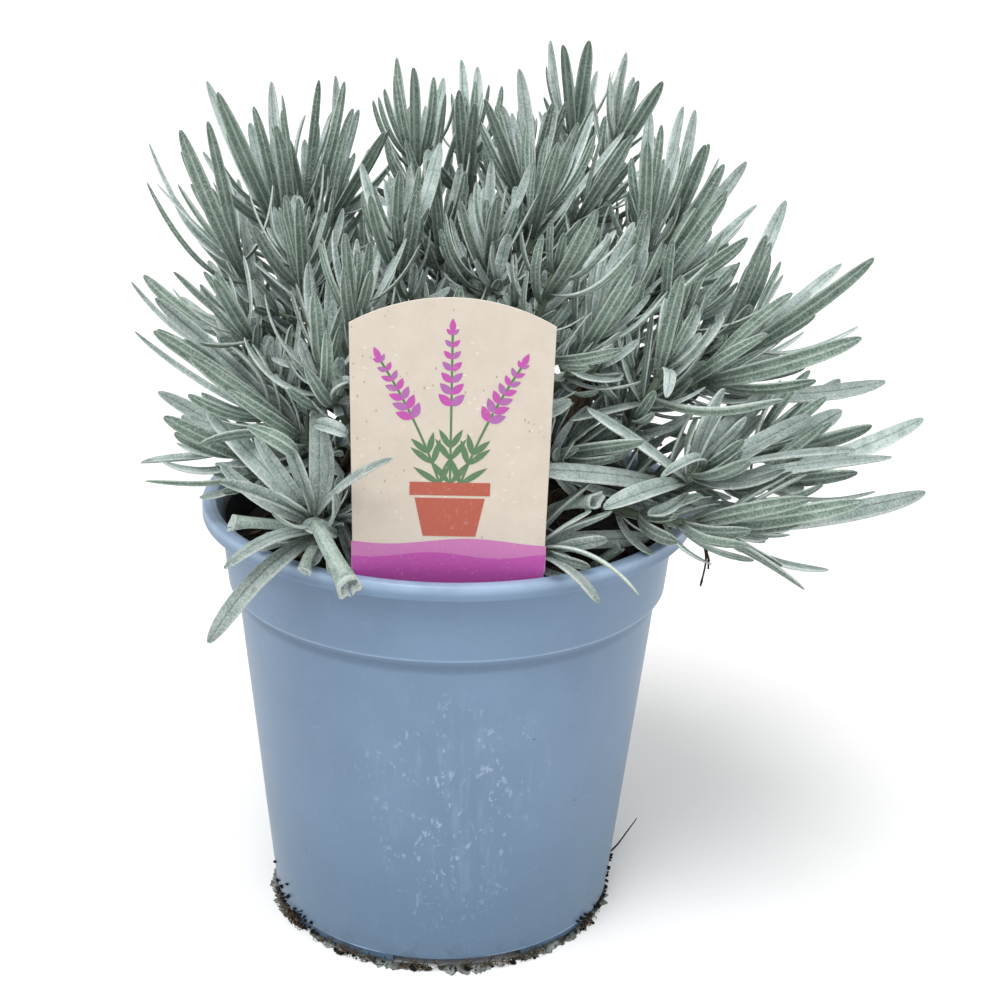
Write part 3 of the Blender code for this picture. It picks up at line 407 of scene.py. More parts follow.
def route_stem(room, shoot, rng):
    """A green stem from its woody head to its tuft, bent until it is clear of everything before it."""
    place, axis = shoot["place"], shoot["axis"]
    tuft = place + axis * np.linspace(0.05, 1, 24)[:, None] * shoot["tuft"]
    for attempt in range(2 * STEM_TRIES):
        head, wood = shoot["heads"][attempt // STEM_TRIES]
        gap = np.linalg.norm(place - head)
        loose = attempt % STEM_TRIES / STEM_TRIES
        stray = rng.normal(size=3) * (0.1 + 0.9 * loose) if attempt else np.zeros(3)
        leaves_head = unit(unit(place - head) + stray)
        start = head + leaves_head * (HEAD_R + SEAT)
        arch = rng.normal(size=3) * 14 * loose
        path = (start, start + leaves_head * gap * 0.3, place - axis * gap * 0.3 + arch, place)
        line = bezier(path, (0.0, 0.3, 0.55, 0.75, 0.88, 1.0))
        run = [lerp(low, high, t) for low, high in zip(line, line[1:]) for t in np.arange(0, 1, 0.03)]
        points = points_in_tube(np.concatenate([run, tuft]), STEM_R)
        owners = room.wide[tuple(room.cells(points).T)]
        from_head = np.linalg.norm(points - head, axis=1)
        away = from_head > HEAD_R + 2.2
        blocked = ((owners != 0) & ((owners != wood) | away)).any()
        if not blocked and from_head.min() > HEAD_R - 0.05:
            break
    room.mark(points, shoot["owner"])
    shoot["path"], shoot["line"] = path, line


def leaf_jobs(shoot, chosen, rng):
    """(order, shoot, builder) for every leaf of a tuft, outer pairs first."""
    axis, pairs = shoot["axis"], shoot["pairs"]
    jobs = []
    for k, (bearing, climb, length, bow, *slender) in enumerate(chosen):
        bow = bow / 100
        width = leaf_width(shoot, length, 0.35) * (1.0 + 0.10 * math.sin(9 * bow + k))
        width *= slender[0] / 100 if slender else 1.0
        twist = 22 * math.sin(5 * k + length)
        base = on_stem(shoot, LEAF_SETS[k])
        jobs.append((0, shoot, by_hand(base, axis, bearing, climb, length, bow, width, twist)))
    phase = rng.uniform(0, 90)
    for j in range(max(0, pairs - 3) if chosen else 0, pairs):
        inner = j / (pairs - 1)
        length = shoot["reach"] * (1 - 0.55 * inner**2.2) * (0.93 if j == 0 else 1.0)
        length *= 0.8 if chosen else 1.0
        for side in (0, 180):
            turn = phase + 90 * j + side + rng.uniform(-8, 8)
            foot = lerp(80, 24, inner) + rng.uniform(-8, 8)
            tip = lerp(26, 5, inner) + rng.uniform(-8, 8)
            own = length * rng.uniform(0.9, 1.08)
            width = leaf_width(shoot, own, 0.4) * rng.uniform(0.85, 1.08)
            base = on_stem(shoot, PAIR_STEP * j - 1)
            twist = rng.uniform(-25, 25)
            leaf = by_rule(base, axis, turn, foot, tip, own, width, twist, (3, 2.2, 1.5), (14, 3))
            jobs.append((1 + j, shoot, leaf))
    return jobs


def place_leaf(room, shoot, builder, rng):
    """Sets one leaf, turned or shortened until it is clear; a leaf that finds no room isn't grown."""
    for attempt in range(TRIES):
        leaf = builder(*(rng.uniform(-attempt, attempt, 2) if attempt else (0, 0)), 1 - 0.022 * attempt)
        points, t = points_in_leaf(leaf)
        touching, mine = room.look(room.wide, points, shoot)
        if not touching.any() and not (mine & (t > GROWN_FREE)).any():
            shoot["leaves"].append(leaf)
            room.mark(points, shoot["owner"] + len(shoot["leaves"]))
            return True
    return False


def grow_plant(room):
    """The whole plant: the woody stems' arms, each shoot with its stem and leaves, and what found no room."""
    room.keep_pot_and_label_free()
    rng = np.random.default_rng(SEED)
    woody_stems, heads = grow_woody_stems(room)
    shoots = []
    for number, (place, bearing, climb, reach, pairs, _) in enumerate(SHOOTS, start=1):
        place, axis = np.array(place, float), direction(bearing, climb)
        shoots.append({"place": place, "axis": axis, "reach": reach, "pairs": pairs, "owner": 100 * number,
                       "heads": nearest_heads(heads, place, axis), "tuft": PAIR_STEP * (pairs - 1) + 1.5,
                       "leaves": [], "fine": [], "sprigs": []})
    for shoot in sorted(shoots, key=lambda s: np.linalg.norm(s["place"] - s["heads"][0][0])):
        route_stem(room, shoot, rng)
    jobs = [job for shoot, row in zip(shoots, SHOOTS) for job in leaf_jobs(shoot, row[5], rng)]
    jobs.sort(key=lambda job: job[0])
    lost = [job for job in jobs if not place_leaf(room, job[1], job[2], rng)]
    return woody_stems, shoots, lost


# ---------------------------------------------------------------- the leaves that only show here
# The share of such a leaf that may touch others, and how far from the axis the crown is still crowded.
MOST_TOUCHING = 0.012
CROWDED = 52.0
FINE_TRIES = 14


def place_fine_leaf(room, shoot, builder, rng, shrink=0.04, most=MOST_TOUCHING):
    for attempt in range(FINE_TRIES):
        stray = rng.uniform(-attempt, attempt, 2) * 1.3 if attempt else (0, 0)
        leaf = builder(*stray, 1 - shrink * attempt)
        points, t = points_in_leaf(leaf)
        touching, mine = room.look(room.core, points, shoot)
        if touching.mean() <= most and (mine & (t > 0.2)).mean() <= 0.02:
            room.mark_core(points, shoot["owner"] + 99)
            shoot["fine"].append(leaf)
            return True
    return False


def stem_point(shoot, distance):
    """A place down the smooth stem, this many millimetres below the foot of the tuft, and the way up it."""
    points = bezier(shoot["path"], np.linspace(1, 0, 60))
    run = np.concatenate([[0], np.cumsum(np.linalg.norm(np.diff(points, axis=0), axis=1))])
    k = int(np.clip(np.searchsorted(run, distance), 1, 58))
    return points[k], unit(points[k - 1] - points[k + 1]), run[-1]


def heart_leaves(shoot, rng):
    """The few small upright leaves at a tuft's growing point."""
    phase = rng.uniform(0, 90)
    pairs = ((17.0, 22, 10, 3.6), (12.5, 15, 4, 3.0), (8.5, 9, 2, 2.3))
    for j, (length, foot, tip, width) in enumerate(pairs):
        for side in (0, 180):
            turn = phase + 90 * j + side + rng.uniform(-12, 12)
            own = length * rng.uniform(0.85, 1.15) * shoot["reach"] / 36
            opened = foot + rng.uniform(-4, 4)
            wide = width * rng.uniform(0.9, 1.1)
            base = shoot["place"] + shoot["axis"] * (shoot["tuft"] - 2.0 + 0.8 * j)
            yield by_rule(base, shoot["axis"], turn, opened, tip, own, wide, give=(2, 1, 0), least=(4, 0))


def between_leaves(shoot, rng):
    """More full-size leaves wherever a tuft still has room for them."""
    phase = rng.uniform(0, 90)
    for j in range(7 if math.hypot(*shoot["place"][:2]) < CROWDED else 2):
        for side in (0, 180):
            turn = phase + 67 * j + side + rng.uniform(-20, 20)
            length = shoot["reach"] * rng.uniform(0.48, 0.80)
            foot, tip = rng.uniform(18, 78), rng.uniform(2, 30)
            width = leaf_width(shoot, length, 0.4) * rng.uniform(0.75, 1.0)
            base = on_stem(shoot, rng.uniform(-7, shoot["tuft"] - 2))
            yield by_rule(base, shoot["axis"], turn, foot, tip, length, width, rng.uniform(-40, 40),
                          (3, 2.5, 2), (8, 0))


def stem_leaves(shoot, rng):
    """Pairs of shorter leaves down the stem, each with a bud of tiny leaves in its axil."""
    turn = rng.uniform(0, 90)
    distance = rng.uniform(3.5, 5.5)
    _, _, run = stem_point(shoot, 1.0)
    while distance < run - 6:
        place, way, _ = stem_point(shoot, distance)
        turn += 90
        for side in (0, 180):
            length = rng.uniform(17, 27) * (1 - 0.25 * distance / run)
            width = leaf_width(shoot, length, 0.45) * rng.uniform(0.85, 1.0)
            foot, tip = rng.uniform(48, 76), rng.uniform(18, 44)
            yield by_rule(place, way, turn + side, foot, tip, length, width, rng.uniform(-25, 25),
                          (3, 2.5, 2), (20, 6))
            for _ in range(3):
                small, lean, skew = rng.uniform(6, 14), rng.uniform(18, 40), rng.uniform(-35, 35)
                yield by_rule(place + way * 0.6, way, turn + side + skew, lean, 12, small, 1.4 + 0.1 * small,
                              least=(12, 0))
        distance += rng.uniform(4.5, 7.0)


def grow_side_shoots(room, shoot, rng):
    """Short leafy side shoots off a stem, which close the crown from within."""
    _, _, run = stem_point(shoot, 1.0)
    distance = rng.uniform(5.0, 8.0)
    while distance < run - 6:
        place, way, _ = stem_point(shoot, distance)
        turn, lean, length = rng.uniform(0, math.tau), rng.uniform(0.6, 1.1), rng.uniform(6, 14)
        starts = way * math.cos(lean) + turned(way, turn) * math.sin(lean)
        tip = place + starts * length * 0.7 + unit(starts + 0.8 * UP) * length * 0.3
        line = bezier((place, place + starts * length * 0.35, place + starts * length * 0.7, tip),
                      np.linspace(0, 1, 7))
        grown = 0
        for at, reach, foot, end in ((3, 1.0, 62, 34), (4, 1.0, 56, 30), (5, 0.9, 46, 20), (6, 0.75, 24, 8)):
            axis = unit(line[at] - line[at - 1])
            for side in (0, 180):
                skew, opened, own = rng.uniform(-20, 20), rng.uniform(-8, 8), reach * rng.uniform(8, 16)
                width = 1.2 + 0.14 * own
                leaf = by_rule(line[at], axis, 90 * at + side + skew, foot + opened, end, own, width)
                grown += place_fine_leaf(room, shoot, leaf, rng, shrink=0.05, most=0.03)
        if grown > 1:
            shoot["sprigs"].append(line)
        distance += rng.uniform(5, 8)


def grow_fine_leaves(room, shoots, lost):
    """Each kind of small leaf in turn, a shoot's leaves of a kind all drawn before the first is placed."""
    rng = np.random.default_rng(SEED + 100)
    for _, shoot, builder in lost:
        place_fine_leaf(room, shoot, builder, rng, shrink=0.03)
    for make in (heart_leaves, between_leaves, stem_leaves):
        for shoot in shoots:
            for builder in list(make(shoot, rng)):
                place_fine_leaf(room, shoot, builder, rng)
    for shoot in shoots:
        if shoot["place"][0] < CROWDED:
            grow_side_shoots(room, shoot, rng)


# ---------------------------------------------------------------- mesh helpers
class Grain:
    """Smooth random values in space, between -1 and 1, from a seeded lattice."""

    SIDE = 32

    def __init__(self, seed):
        self.values = np.random.default_rng(seed).uniform(-1, 1, (self.SIDE,) * 3)

    def __call__(self, points, size):
        place = np.asarray(points, float) / size
        low = np.floor(place).astype(int)
        part = place - low
        part = part * part * (3 - 2 * part)
        total = np.zeros(len(place))
        for corner in np.ndindex(2, 2, 2):
            share = np.prod(np.where(corner, part, 1 - part), axis=1)
            total += share * self.values[tuple(((low + corner) % self.SIDE).T)]
        return total

    def layers(self, points, size, count=3):
        return sum(self(points, size / 2**k) / 2**k for k in range(count))


class Builder:
    """Collects points, faces and point attributes for one mesh."""

    def __init__(self):
        self.points, self.faces, self.marks, self.slots, self.count = [], [], [], [], 0

    def add(self, points, faces, mark=None, slot=0, tone=0.0):
        """A mark is a place across, along and over a leaf with a tone; without one, only the tone is set."""
        points = np.asarray(points, float)
        self.points.append(points)
        self.faces += [tuple(int(i) + self.count for i in face) for face in faces]
        self.marks.append(np.tile((0.0, 0.0, 0.0, tone), (len(points), 1)) if mark is None else mark)
        self.slots += [slot] * len(faces)
        self.count += len(points)

    def mesh(self, name):
        mesh = bpy.data.meshes.new(name)
        points = np.concatenate(self.points) * MM + POT_AXIS
        mesh.from_pydata(points.tolist(), [], self.faces)
        marks = np.concatenate(self.marks)
        where = mesh.attributes.new("leaf", "FLOAT_VECTOR", "POINT")
        where.data.foreach_set("vector", marks[:, :3].ravel())
        tone = mesh.attributes.new("tone", "FLOAT", "POINT")
        tone.data.foreach_set("value", marks[:, 3].copy())
        mesh.polygons.foreach_set("material_index", self.slots)
        mesh.shade_smooth()
        mesh.update()
        return mesh


def ring_faces(rings, around, cap_low=True, cap_high=True):
    """Quads between rings of points, and a fan-free cap on each end."""
    faces = []
    for i in range(rings - 1):
        for j in range(around):
            k = (j + 1) % around
            faces.append((i * around + j, i * around + k, (i + 1) * around + k, (i + 1) * around + j))
    if cap_low:
        faces.append(tuple(range(around - 1, -1, -1)))
    if cap_high:
        faces.append(tuple(range((rings - 1) * around, rings * around)))
    return faces


def full_turn(count):
    return np.arange(count) * math.tau / count


def tube(line, radii, around=8, squareness=0.0, wobble=None):
    """Rings of points round a line; squareness pulls the section towards a square."""
    line = np.asarray(line, float)
    along = units(np.gradient(line, axis=0))
    side = np.cross(along[0], [0.31, 0.52, 0.8])
    sides = []
    for way in along:
        side = unit(side - (side @ way) * way)
        sides.append(side)
    sides = np.array(sides)
    other = np.cross(along, sides)
    turn = full_turn(around)
    grow = 1 + squareness * np.cos(4 * turn)
    ring = np.asarray(radii, float)[:, None] * grow
    points = (line[:, None] + sides[:, None] * (ring * np.cos(turn))[..., None]
              + other[:, None] * (ring * np.sin(turn))[..., None]).reshape(-1, 3)
    if wobble is not None:
        out = points - np.repeat(line, around, axis=0)
        points = points + out * wobble(points)[:, None]
    return points


def link(name, data):
    obj = bpy.data.objects.new(name, data)
    bpy.context.scene.collection.objects.link(obj)
    return obj


def add_object(name, mesh, materials, node=None):
    obj = link(name, mesh)
    for material in materials:
        mesh.materials.append(material)
    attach(obj, "root")
    if node:
        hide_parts(node)
    return obj


def work_in_modifiers(obj):
    """Gives an object the mesh that its modifiers make."""
    made = bpy.data.meshes.new_from_object(obj.evaluated_get(bpy.context.evaluated_depsgraph_get()))
    obj.modifiers.clear()
    obj.data = made
    return made


# ---------------------------------------------------------------- leaves and stems
# Half a leaf's section, from the groove over the midrib round the rolled margin to the midrib's underside,
# in half widths, and which points of it are on the upper face.
SECTION = np.array([(0.0, 0.02), (0.10, 0.10), (0.28, 0.155), (0.58, 0.14), (0.86, 0.04), (1.0, -0.12),
                    (0.93, -0.27), (0.80, -0.27), (0.66, -0.13), (0.40, -0.05), (0.17, -0.09), (0.0, -0.20)])
FACE_OF_SECTION = np.array([1, 1, 1, 1, 1, 0.6, 0.1, 0, 0, 0, 0, 0])
WHOLE_SECTION = np.arange(len(SECTION))
OF_SMALL_SECTION = np.array([0, 2, 4, 5, 7, 9, 11])
# Shares of a leaf's length that have a section: of a large leaf, a small one and a tiny one.
STATIONS = np.concatenate([np.linspace(0, 0.88, 12), [0.93, 0.965, 0.985, 0.997]])
FEW_STATIONS = np.concatenate([np.linspace(0, 0.86, 8), [0.93, 0.97, 0.995]])
LEAST_STATIONS = np.array([0, 0.2, 0.45, 0.7, 0.85, 0.94, 0.99])
# The longest tiny leaf, and the length under which leaves are mostly pale.
TINY_LEAF, SHORT_LEAF = 12, 18
# A rolled leaf's stations and the points across each, its wall's thickness and how far its mouth slants.
ROLLED_STATIONS = np.concatenate([np.linspace(0, 0.7, 9), np.linspace(0.76, 1.0, 8)])
ROLLED_ACROSS = 17
ROLLED_THICK = 0.42
MOUTH_SLANT = 0.38
# The leaf that is rolled up and cut off, as its shoot and its number in it.
CUT_LEAF = (1, 6)
# Small leaves that catch the eye at the front: shoot, foot, tip, bow, width, how far folded shut, and whether
# rolled up and cut off.
FRONT_LEAVES = (
    (1, (-24.5, -57.0, 126.4), (-32.5, -59.4, 129.0), 0.12, 5.4, 0.3, False),
    (1, (-33.0, -53.0, 126.8), (-49.0, -55.5, 129.2), 0.04, 3.4, 0.0, True),
    (1, (-29.1, -56.0, 124.4), (-32.6, -62.3, 119.6), 0.22, 3.0, 0.0, True),
    (41, (21.5, -46.0, 126.0), (35.0, -50.5, 132.6), -0.18, 3.4, 0.0, True),
    (41, (37.0, -38.5, 111.5), (44.2, -38.0, 117.0), 0.05, 3.2, 0.0, True),
    (41, (25.3, -59.0, 123.0), (37.3, -70.0, 116.2), 0.12, 5.0, 0.1, False),
    (5, (-30.2, -54.0, 152.6), (-21.8, -58.4, 152.2), 0.14, 4.2, 0.5, False),
    (5, (-25.7, -52.0, 158.4), (-21.3, -55.6, 163.8), 0.20, 4.0, 0.6, False),
    (2, (59.5, -42.0, 133.5), (49.4, -50.0, 131.0), -0.36, 4.6, 0.85, False),
    (5, (-34.0, -53.0, 143.0), (-45.4, -58.5, 152.4), -0.48, 4.8, 0.5, False),
)


def laid_out(leaf, stations):
    """The midrib's points, upward normals and sideways directions at these shares of a leaf's length."""
    t, points, up, side = leaf_frames(leaf, 61)
    lay = np.array([np.interp(stations, t, column) for column in np.hstack([points, up, side]).T]).T
    return lay[:, :3], lay[:, 3:6], lay[:, 6:]


def walled(points, side, up, wide, high):
    """Rings of points this far sideways and upwards of each point of a midrib."""
    return points[:, None] + side[:, None] * wide[..., None] + up[:, None] * high[..., None]


def marks_of(stations, across, face, tone):
    """Each point's place across, along and over a leaf, with the leaf's tone."""
    count = len(stations)
    return np.column_stack([np.tile(across, count), np.repeat(stations, len(across)), np.tile(face, count),
                            np.full(count * len(across), tone)])


def leaf_rings(leaf, rng, grain, fine, fold=None):
    """A leaf's points and faces, with its place across, along and over it for its material."""
    chosen = OF_SMALL_SECTION if fine else WHOLE_SECTION
    section, face = SECTION[chosen], FACE_OF_SECTION[chosen]
    stations = STATIONS if not fine else FEW_STATIONS if leaf["length"] > TINY_LEAF else LEAST_STATIONS
    tone = rng.uniform(0, 1) ** (0.6 if leaf["length"] < SHORT_LEAF else 1.0)
    points, up, side = laid_out(leaf, stations)
    lively = 2.6 if rng.uniform() < 0.22 else 1.0
    sway = rng.normal(0, 0.020) * lively * leaf["length"] * stations**1.5
    curl = rng.normal(0, 0.026) * lively * leaf["length"] * stations**2.6
    points = points + side * sway[:, None] + up * curl[:, None]
    half = half_width(stations, leaf["width"]) * (1 - 0.14 * np.clip((stations - 0.45) / 0.55, 0, 1) ** 1.5)
    full = leaf["width"] / 2
    ring = np.vstack([section, section[-2:0:-1] * (-1, 1)])
    fullness = rng.uniform(0.85, 1.25)
    if fold is None:
        fold = rng.uniform(0.35, 0.85) if rng.uniform() < 0.16 else rng.uniform(-0.12, 0.18)
    thick = full * fullness * np.clip(half / full, 0, 1) ** 0.8
    ruffle = 1 + 0.05 * grain(np.column_stack([stations * leaf["length"], half, half]) + full * 97, 6.0)
    wide = ring[:, 0] * (half * ruffle)[:, None] * (1 - 0.3 * max(0.0, fold))
    high = ring[:, 1] * thick[:, None] + np.abs(ring[:, 0]) * fold * half[:, None]
    body = walled(points, side, up, wide, high).reshape(-1, 3)
    mark = marks_of(stations, ring[:, 0], np.concatenate([face, face[-2:0:-1]]), tone)
    return body, ring_faces(len(stations), len(ring)), mark


def rolled_rings(leaf, rng):
    """A leaf rolled up into a gutter and cut off, its open end flared and frilled."""
    stations, around = ROLLED_STATIONS, 2 * ROLLED_ACROSS
    points, up, side = laid_out(leaf, stations)
    flare = np.clip((stations - 0.70) / 0.30, 0, 1) ** 1.6
    rounding = np.sin(stations * math.pi / 2)
    turn = np.linspace(-1, 1, ROLLED_ACROSS)
    angle = turn * np.radians(130 + 46 * rounding)[:, None]
    radius = leaf["width"] * (0.29 + 0.13 * rounding + 0.20 * flare)[:, None]
    radius = radius * (1 + 0.14 * flare[:, None] * np.sin(angle * 4.6 + rng.uniform(0, 6)))
    onward = unit(points[-1] - points[-2])
    rings = []
    for thick, way in ((ROLLED_THICK, 1), (0.0, -1)):
        high = radius - (radius - thick) * np.cos(angle)
        wall = walled(points, -side, -up, (radius - thick) * np.sin(angle), high)
        wall = wall + onward * (MOUTH_SLANT * flare[:, None] * high)[..., None]
        rings.append(wall[:, ::way])
    body = np.concatenate(rings, axis=1).reshape(-1, 3)
    mark = marks_of(stations * 0.9, np.concatenate([turn, turn[::-1]]),
                    np.repeat((1.0, 0.45), ROLLED_ACROSS), 0.9)
    mark[-2 * around:, 0] = 0.92
    return body, ring_faces(len(stations), around), mark


def build_shoot(number, shoot, materials, grain):
    rng = np.random.default_rng(1000 + number)
    made = Builder()
    tuft = shoot["place"] + shoot["axis"] * np.linspace(0.15, 1, 6)[:, None] * (shoot["tuft"] - 0.8)
    line = np.vstack([bezier(shoot["path"], np.linspace(0, 1, 26)), tuft])
    line[0] -= unit(line[1] - line[0]) * 1.4
    share = np.linspace(0, 1, len(line))
    radii = STEM_R * (1.12 - 0.30 * share)
    radii[:2] *= (1.5, 1.2)
    points = tube(line, radii, 8, 0.07, lambda p: 0.10 * grain(p, 2.5))
    mark = marks_of(share, np.zeros(8), np.ones(8), rng.uniform(0, 1))
    made.add(points, ring_faces(len(line), 8), mark, slot=1)
    for line in shoot["sprigs"]:
        points = tube(line, np.linspace(0.62, 0.40, len(line)), 6)
        mark = np.tile((0, 0.5, 1, rng.uniform(0, 1)), (len(points), 1))
        made.add(points, ring_faces(len(line), 6), mark, slot=1)
    for k, leaf in enumerate(shoot["leaves"]):
        rolled = (number, k) == CUT_LEAF
        made.add(*(rolled_rings(leaf, rng) if rolled else leaf_rings(leaf, rng, grain, False)))
    for leaf in shoot["fine"]:
        made.add(*leaf_rings(leaf, rng, grain, True))
    for owner, foot, tip, bow, width, fold, rolled in FRONT_LEAVES:
        if owner == number:
            leaf = leaf_by_hand(np.array(foot), shoot["axis"], np.subtract(tip, foot), bow, width, 0)
            made.add(*(rolled_rings(leaf, rng) if rolled else leaf_rings(leaf, rng, grain, False, fold)))
    name = f"shoot_{number:02d}"
    add_object(name, made.mesh(name), materials, f"leafy_shoot_{number:02d}")


def build_woody_stem(name, foot, arms, material, grain):
    """Trunk, arms and knobby heads of one old stem, fused and roughened into bark."""
    drafts = bmesh.new()

    def add(line, radii, around, wobble=None):
        points = tube(line, radii, around, wobble=wobble)
        verts = [drafts.verts.new(p * MM + POT_AXIS) for p in points]
        for face in ring_faces(len(line), around):
            drafts.faces.new([verts[i] for i in face])

    low = np.array([*foot, TRUNK_FOOT + 12.0])
    trunk = low + UP * np.linspace(0, TRUNK_TOP - low[2] + 1.0, 12)[:, None]
    add(trunk, np.linspace(TRUNK_R * 1.02, TRUNK_R * 0.9, 12), 20)
    share = np.linspace(0, 1, 30)
    for path in arms:
        radii = ARM_R * (1.05 - 0.16 * share + 0.22 * np.clip((share - 0.8) / 0.2, 0, 1))
        add(bezier(path, share), radii, 18, lambda p: 0.12 * grain(p, 5.0))
        ball = bmesh.ops.create_icosphere(drafts, subdivisions=3, radius=HEAD_R * MM * 0.97,
                                          matrix=Matrix.Translation(path[3] * MM + POT_AXIS))
        for vert in ball["verts"]:
            place = (np.array(vert.co) - POT_AXIS) / MM
            vert.co += (Vector(place - path[3]).normalized() * float(grain(place[None], 3.0)[0]) * 0.7 * MM)
    bmesh.ops.recalc_face_normals(drafts, faces=drafts.faces)
    mesh = bpy.data.meshes.new("old_stem_" + name)
    drafts.to_mesh(mesh)
    drafts.free()
    obj = add_object("old_stem_" + name, mesh, [material], "woody_stem_" + name)
    remesh = obj.modifiers.new("fuse", "REMESH")
    remesh.mode = "VOXEL"
    remesh.voxel_size = 0.68 * MM
    remesh.use_smooth_shade = True
    fused = work_in_modifiers(obj)
    bpy.data.meshes.remove(mesh)
    fused.name = obj.name
    count = len(fused.vertices)
    points, normals = np.empty(count * 3), np.empty(count * 3)
    fused.vertices.foreach_get("co", points)
    fused.vertices.foreach_get("normal", normals)
    points, normals = points.reshape(-1, 3), normals.reshape(-1, 3)
    place = (points - POT_AXIS) / MM
    ridges = grain.layers(place * (1, 1, 0.28), 1.3) + 0.5 * grain(place, 4.0)
    points += normals * (0.22 * ridges * MM)[:, None]
    fused.vertices.foreach_set("co", points.ravel())
    fused.shade_smooth()
    fused.update()


# ---------------------------------------------------------------- pot
def rounded(corners, steps=4):
    """The outline of these (radius, height, rounding) corners, its rounded ones turned into arcs."""
    out = []
    points = [np.array(corner[:2], float) for corner in corners]
    for i, (point, (*_, rounding)) in enumerate(zip(points, corners)):
        if not rounding:
            out.append(point)
            continue
        before, after = unit(points[i - 1] - point), unit(points[i + 1] - point)
        half = math.acos(np.clip(before @ after, -1, 1)) / 2
        cut = min(rounding / math.tan(half), 0.45 * np.linalg.norm(points[i - 1] - point),
                  0.45 * np.linalg.norm(points[i + 1] - point))
        start, end = point + before * cut, point + after * cut
        for t in np.linspace(0, 1, steps + 1):
            out.append((1 - t) ** 2 * start + 2 * (1 - t) * t * point + t**2 * end)
    return out


def dense(points, most):
    """The same outline with no stretch longer than this."""
    out = [points[0]]
    for low, high in zip(points, points[1:]):
        parts = max(1, math.ceil(np.linalg.norm(high - low) / most))
        out += [low + (high - low) * k / parts for k in range(1, parts + 1)]
    return out


def lathe(profile, turns):
    """Points and faces of a profile turned round the axis; a first or last point on the axis closes it."""
    profile = np.array(profile)
    radii, heights = profile[:, 0], profile[:, 1]
    turn = full_turn(turns)
    rings = np.stack([radii[:, None] * np.cos(turn), radii[:, None] * np.sin(turn),
                      np.repeat(heights[:, None], turns, axis=1)], axis=-1)
    return rings.reshape(-1, 3), ring_faces(len(profile), turns, radii[0] > 0, radii[-1] > 0)


# The cutters for the four arches in the foot, as a block's size and its place off the axis, and for the
# eight drain holes, as their radius and depth in metres and their place off the axis in millimetres.
ARCH_SIZE, ARCH_PLACE = (0.012, 0.034, 0.0056), 0.0469
HOLE_RADIUS, HOLE_DEPTH, HOLE_PLACE = 0.0022, 0.004, 36


def build_pot(material):
    """The moulded pot: floor, wall, collar and rolled rim, with arches and drain holes cut in its foot."""
    h, r = POT_HEIGHT, RIM_RADIUS
    corners = [
        (0, 4.8, 0), (44.5, 4.8, 1.2), (45.9, 6.2, 1.2), (55.4, 93.4, 1.5), (57.2, 97.6, 1.5),
        (59.0, 112.4, 1.5), (60.1, h - 3.2, 1.5), (61.4, h - 0.5, 0.8), (r - 2.0, h, 0.7), (r, h - 0.2, 0.9),
        (r, h - 4.0, 0.5), (r - 0.9, h - 4.3, 0.3), (60.4, h - 4.0, 0.5), (58.5, 94.5, 0.35),
        (56.9, 94.0, 0.4), (56.3, 92.4, 1.0), (47.1, 3.1, 0.25), (46.5, 2.9, 0.2), (46.1, 0.0, 0.3),
        (44.5, 0.0, 0.2), (44.5, 3.4, 0.3), (0, 3.4, 0),
    ]
    points, faces = lathe(dense(rounded(corners), 4.5), 160)
    grain = Grain(5)
    bow = 0.10 * grain(points * (1, 1, 0.6), 38.0) + 0.035 * grain(points, 12.0)
    outward = points[:, :2] / np.maximum(np.hypot(points[:, 0], points[:, 1]), 1e-6)[:, None]
    bow *= np.clip((points[:, 2] - 3) / 8, 0, 1)
    points[:, :2] += outward * bow[:, None]
    made = Builder()
    made.add(points, faces)
    mesh = made.mesh("nursery_pot")
    bm = bmesh.new()
    bm.from_mesh(mesh)
    bmesh.ops.remove_doubles(bm, verts=bm.verts, dist=1e-6)
    bmesh.ops.recalc_face_normals(bm, faces=bm.faces)
    bm.to_mesh(mesh)
    bm.free()
    obj = add_object("nursery_pot", mesh, [material], "pot")
    cutters = bmesh.new()
    for k in range(4):
        matrix = Matrix.Translation(POT_AXIS) @ Matrix.Rotation(math.radians(-82.5 + 90 * k), 4, "Z")
        matrix = matrix @ Matrix.Translation((ARCH_PLACE, 0, 0)) @ Matrix.Diagonal((*ARCH_SIZE, 1))
        bmesh.ops.create_cube(cutters, size=1.0, matrix=matrix)
    for k in range(8):
        turn = (k + 0.5) * math.pi / 4
        place = POT_AXIS + np.array([HOLE_PLACE * math.cos(turn), HOLE_PLACE * math.sin(turn), 4.1]) * MM
        bmesh.ops.create_cone(cutters, cap_ends=True, segments=24, radius1=HOLE_RADIUS, radius2=HOLE_RADIUS,
                              depth=HOLE_DEPTH, matrix=Matrix.Translation(place))
    cutter_mesh = bpy.data.meshes.new("cutter")
    cutters.to_mesh(cutter_mesh)
    cutters.free()
    cutter = link("cutter", cutter_mesh)
    cut = obj.modifiers.new("arches", "BOOLEAN")
    cut.operation = "DIFFERENCE"
    cut.solver = "EXACT"
    cut.object = cutter
    finished = work_in_modifiers(obj)
    finished.shade_smooth()
    finished.set_sharp_from_angle(angle=math.radians(50))
    bpy.data.objects.remove(cutter)


# ---------------------------------------------------------------- soil
# The height of the soil's middle, how far it falls towards the wall, and the radius that loose crumbs reach.
SOIL_MIDDLE, SOIL_FALL, CRUMBS_REACH = 106.3, 2.4, 56.5


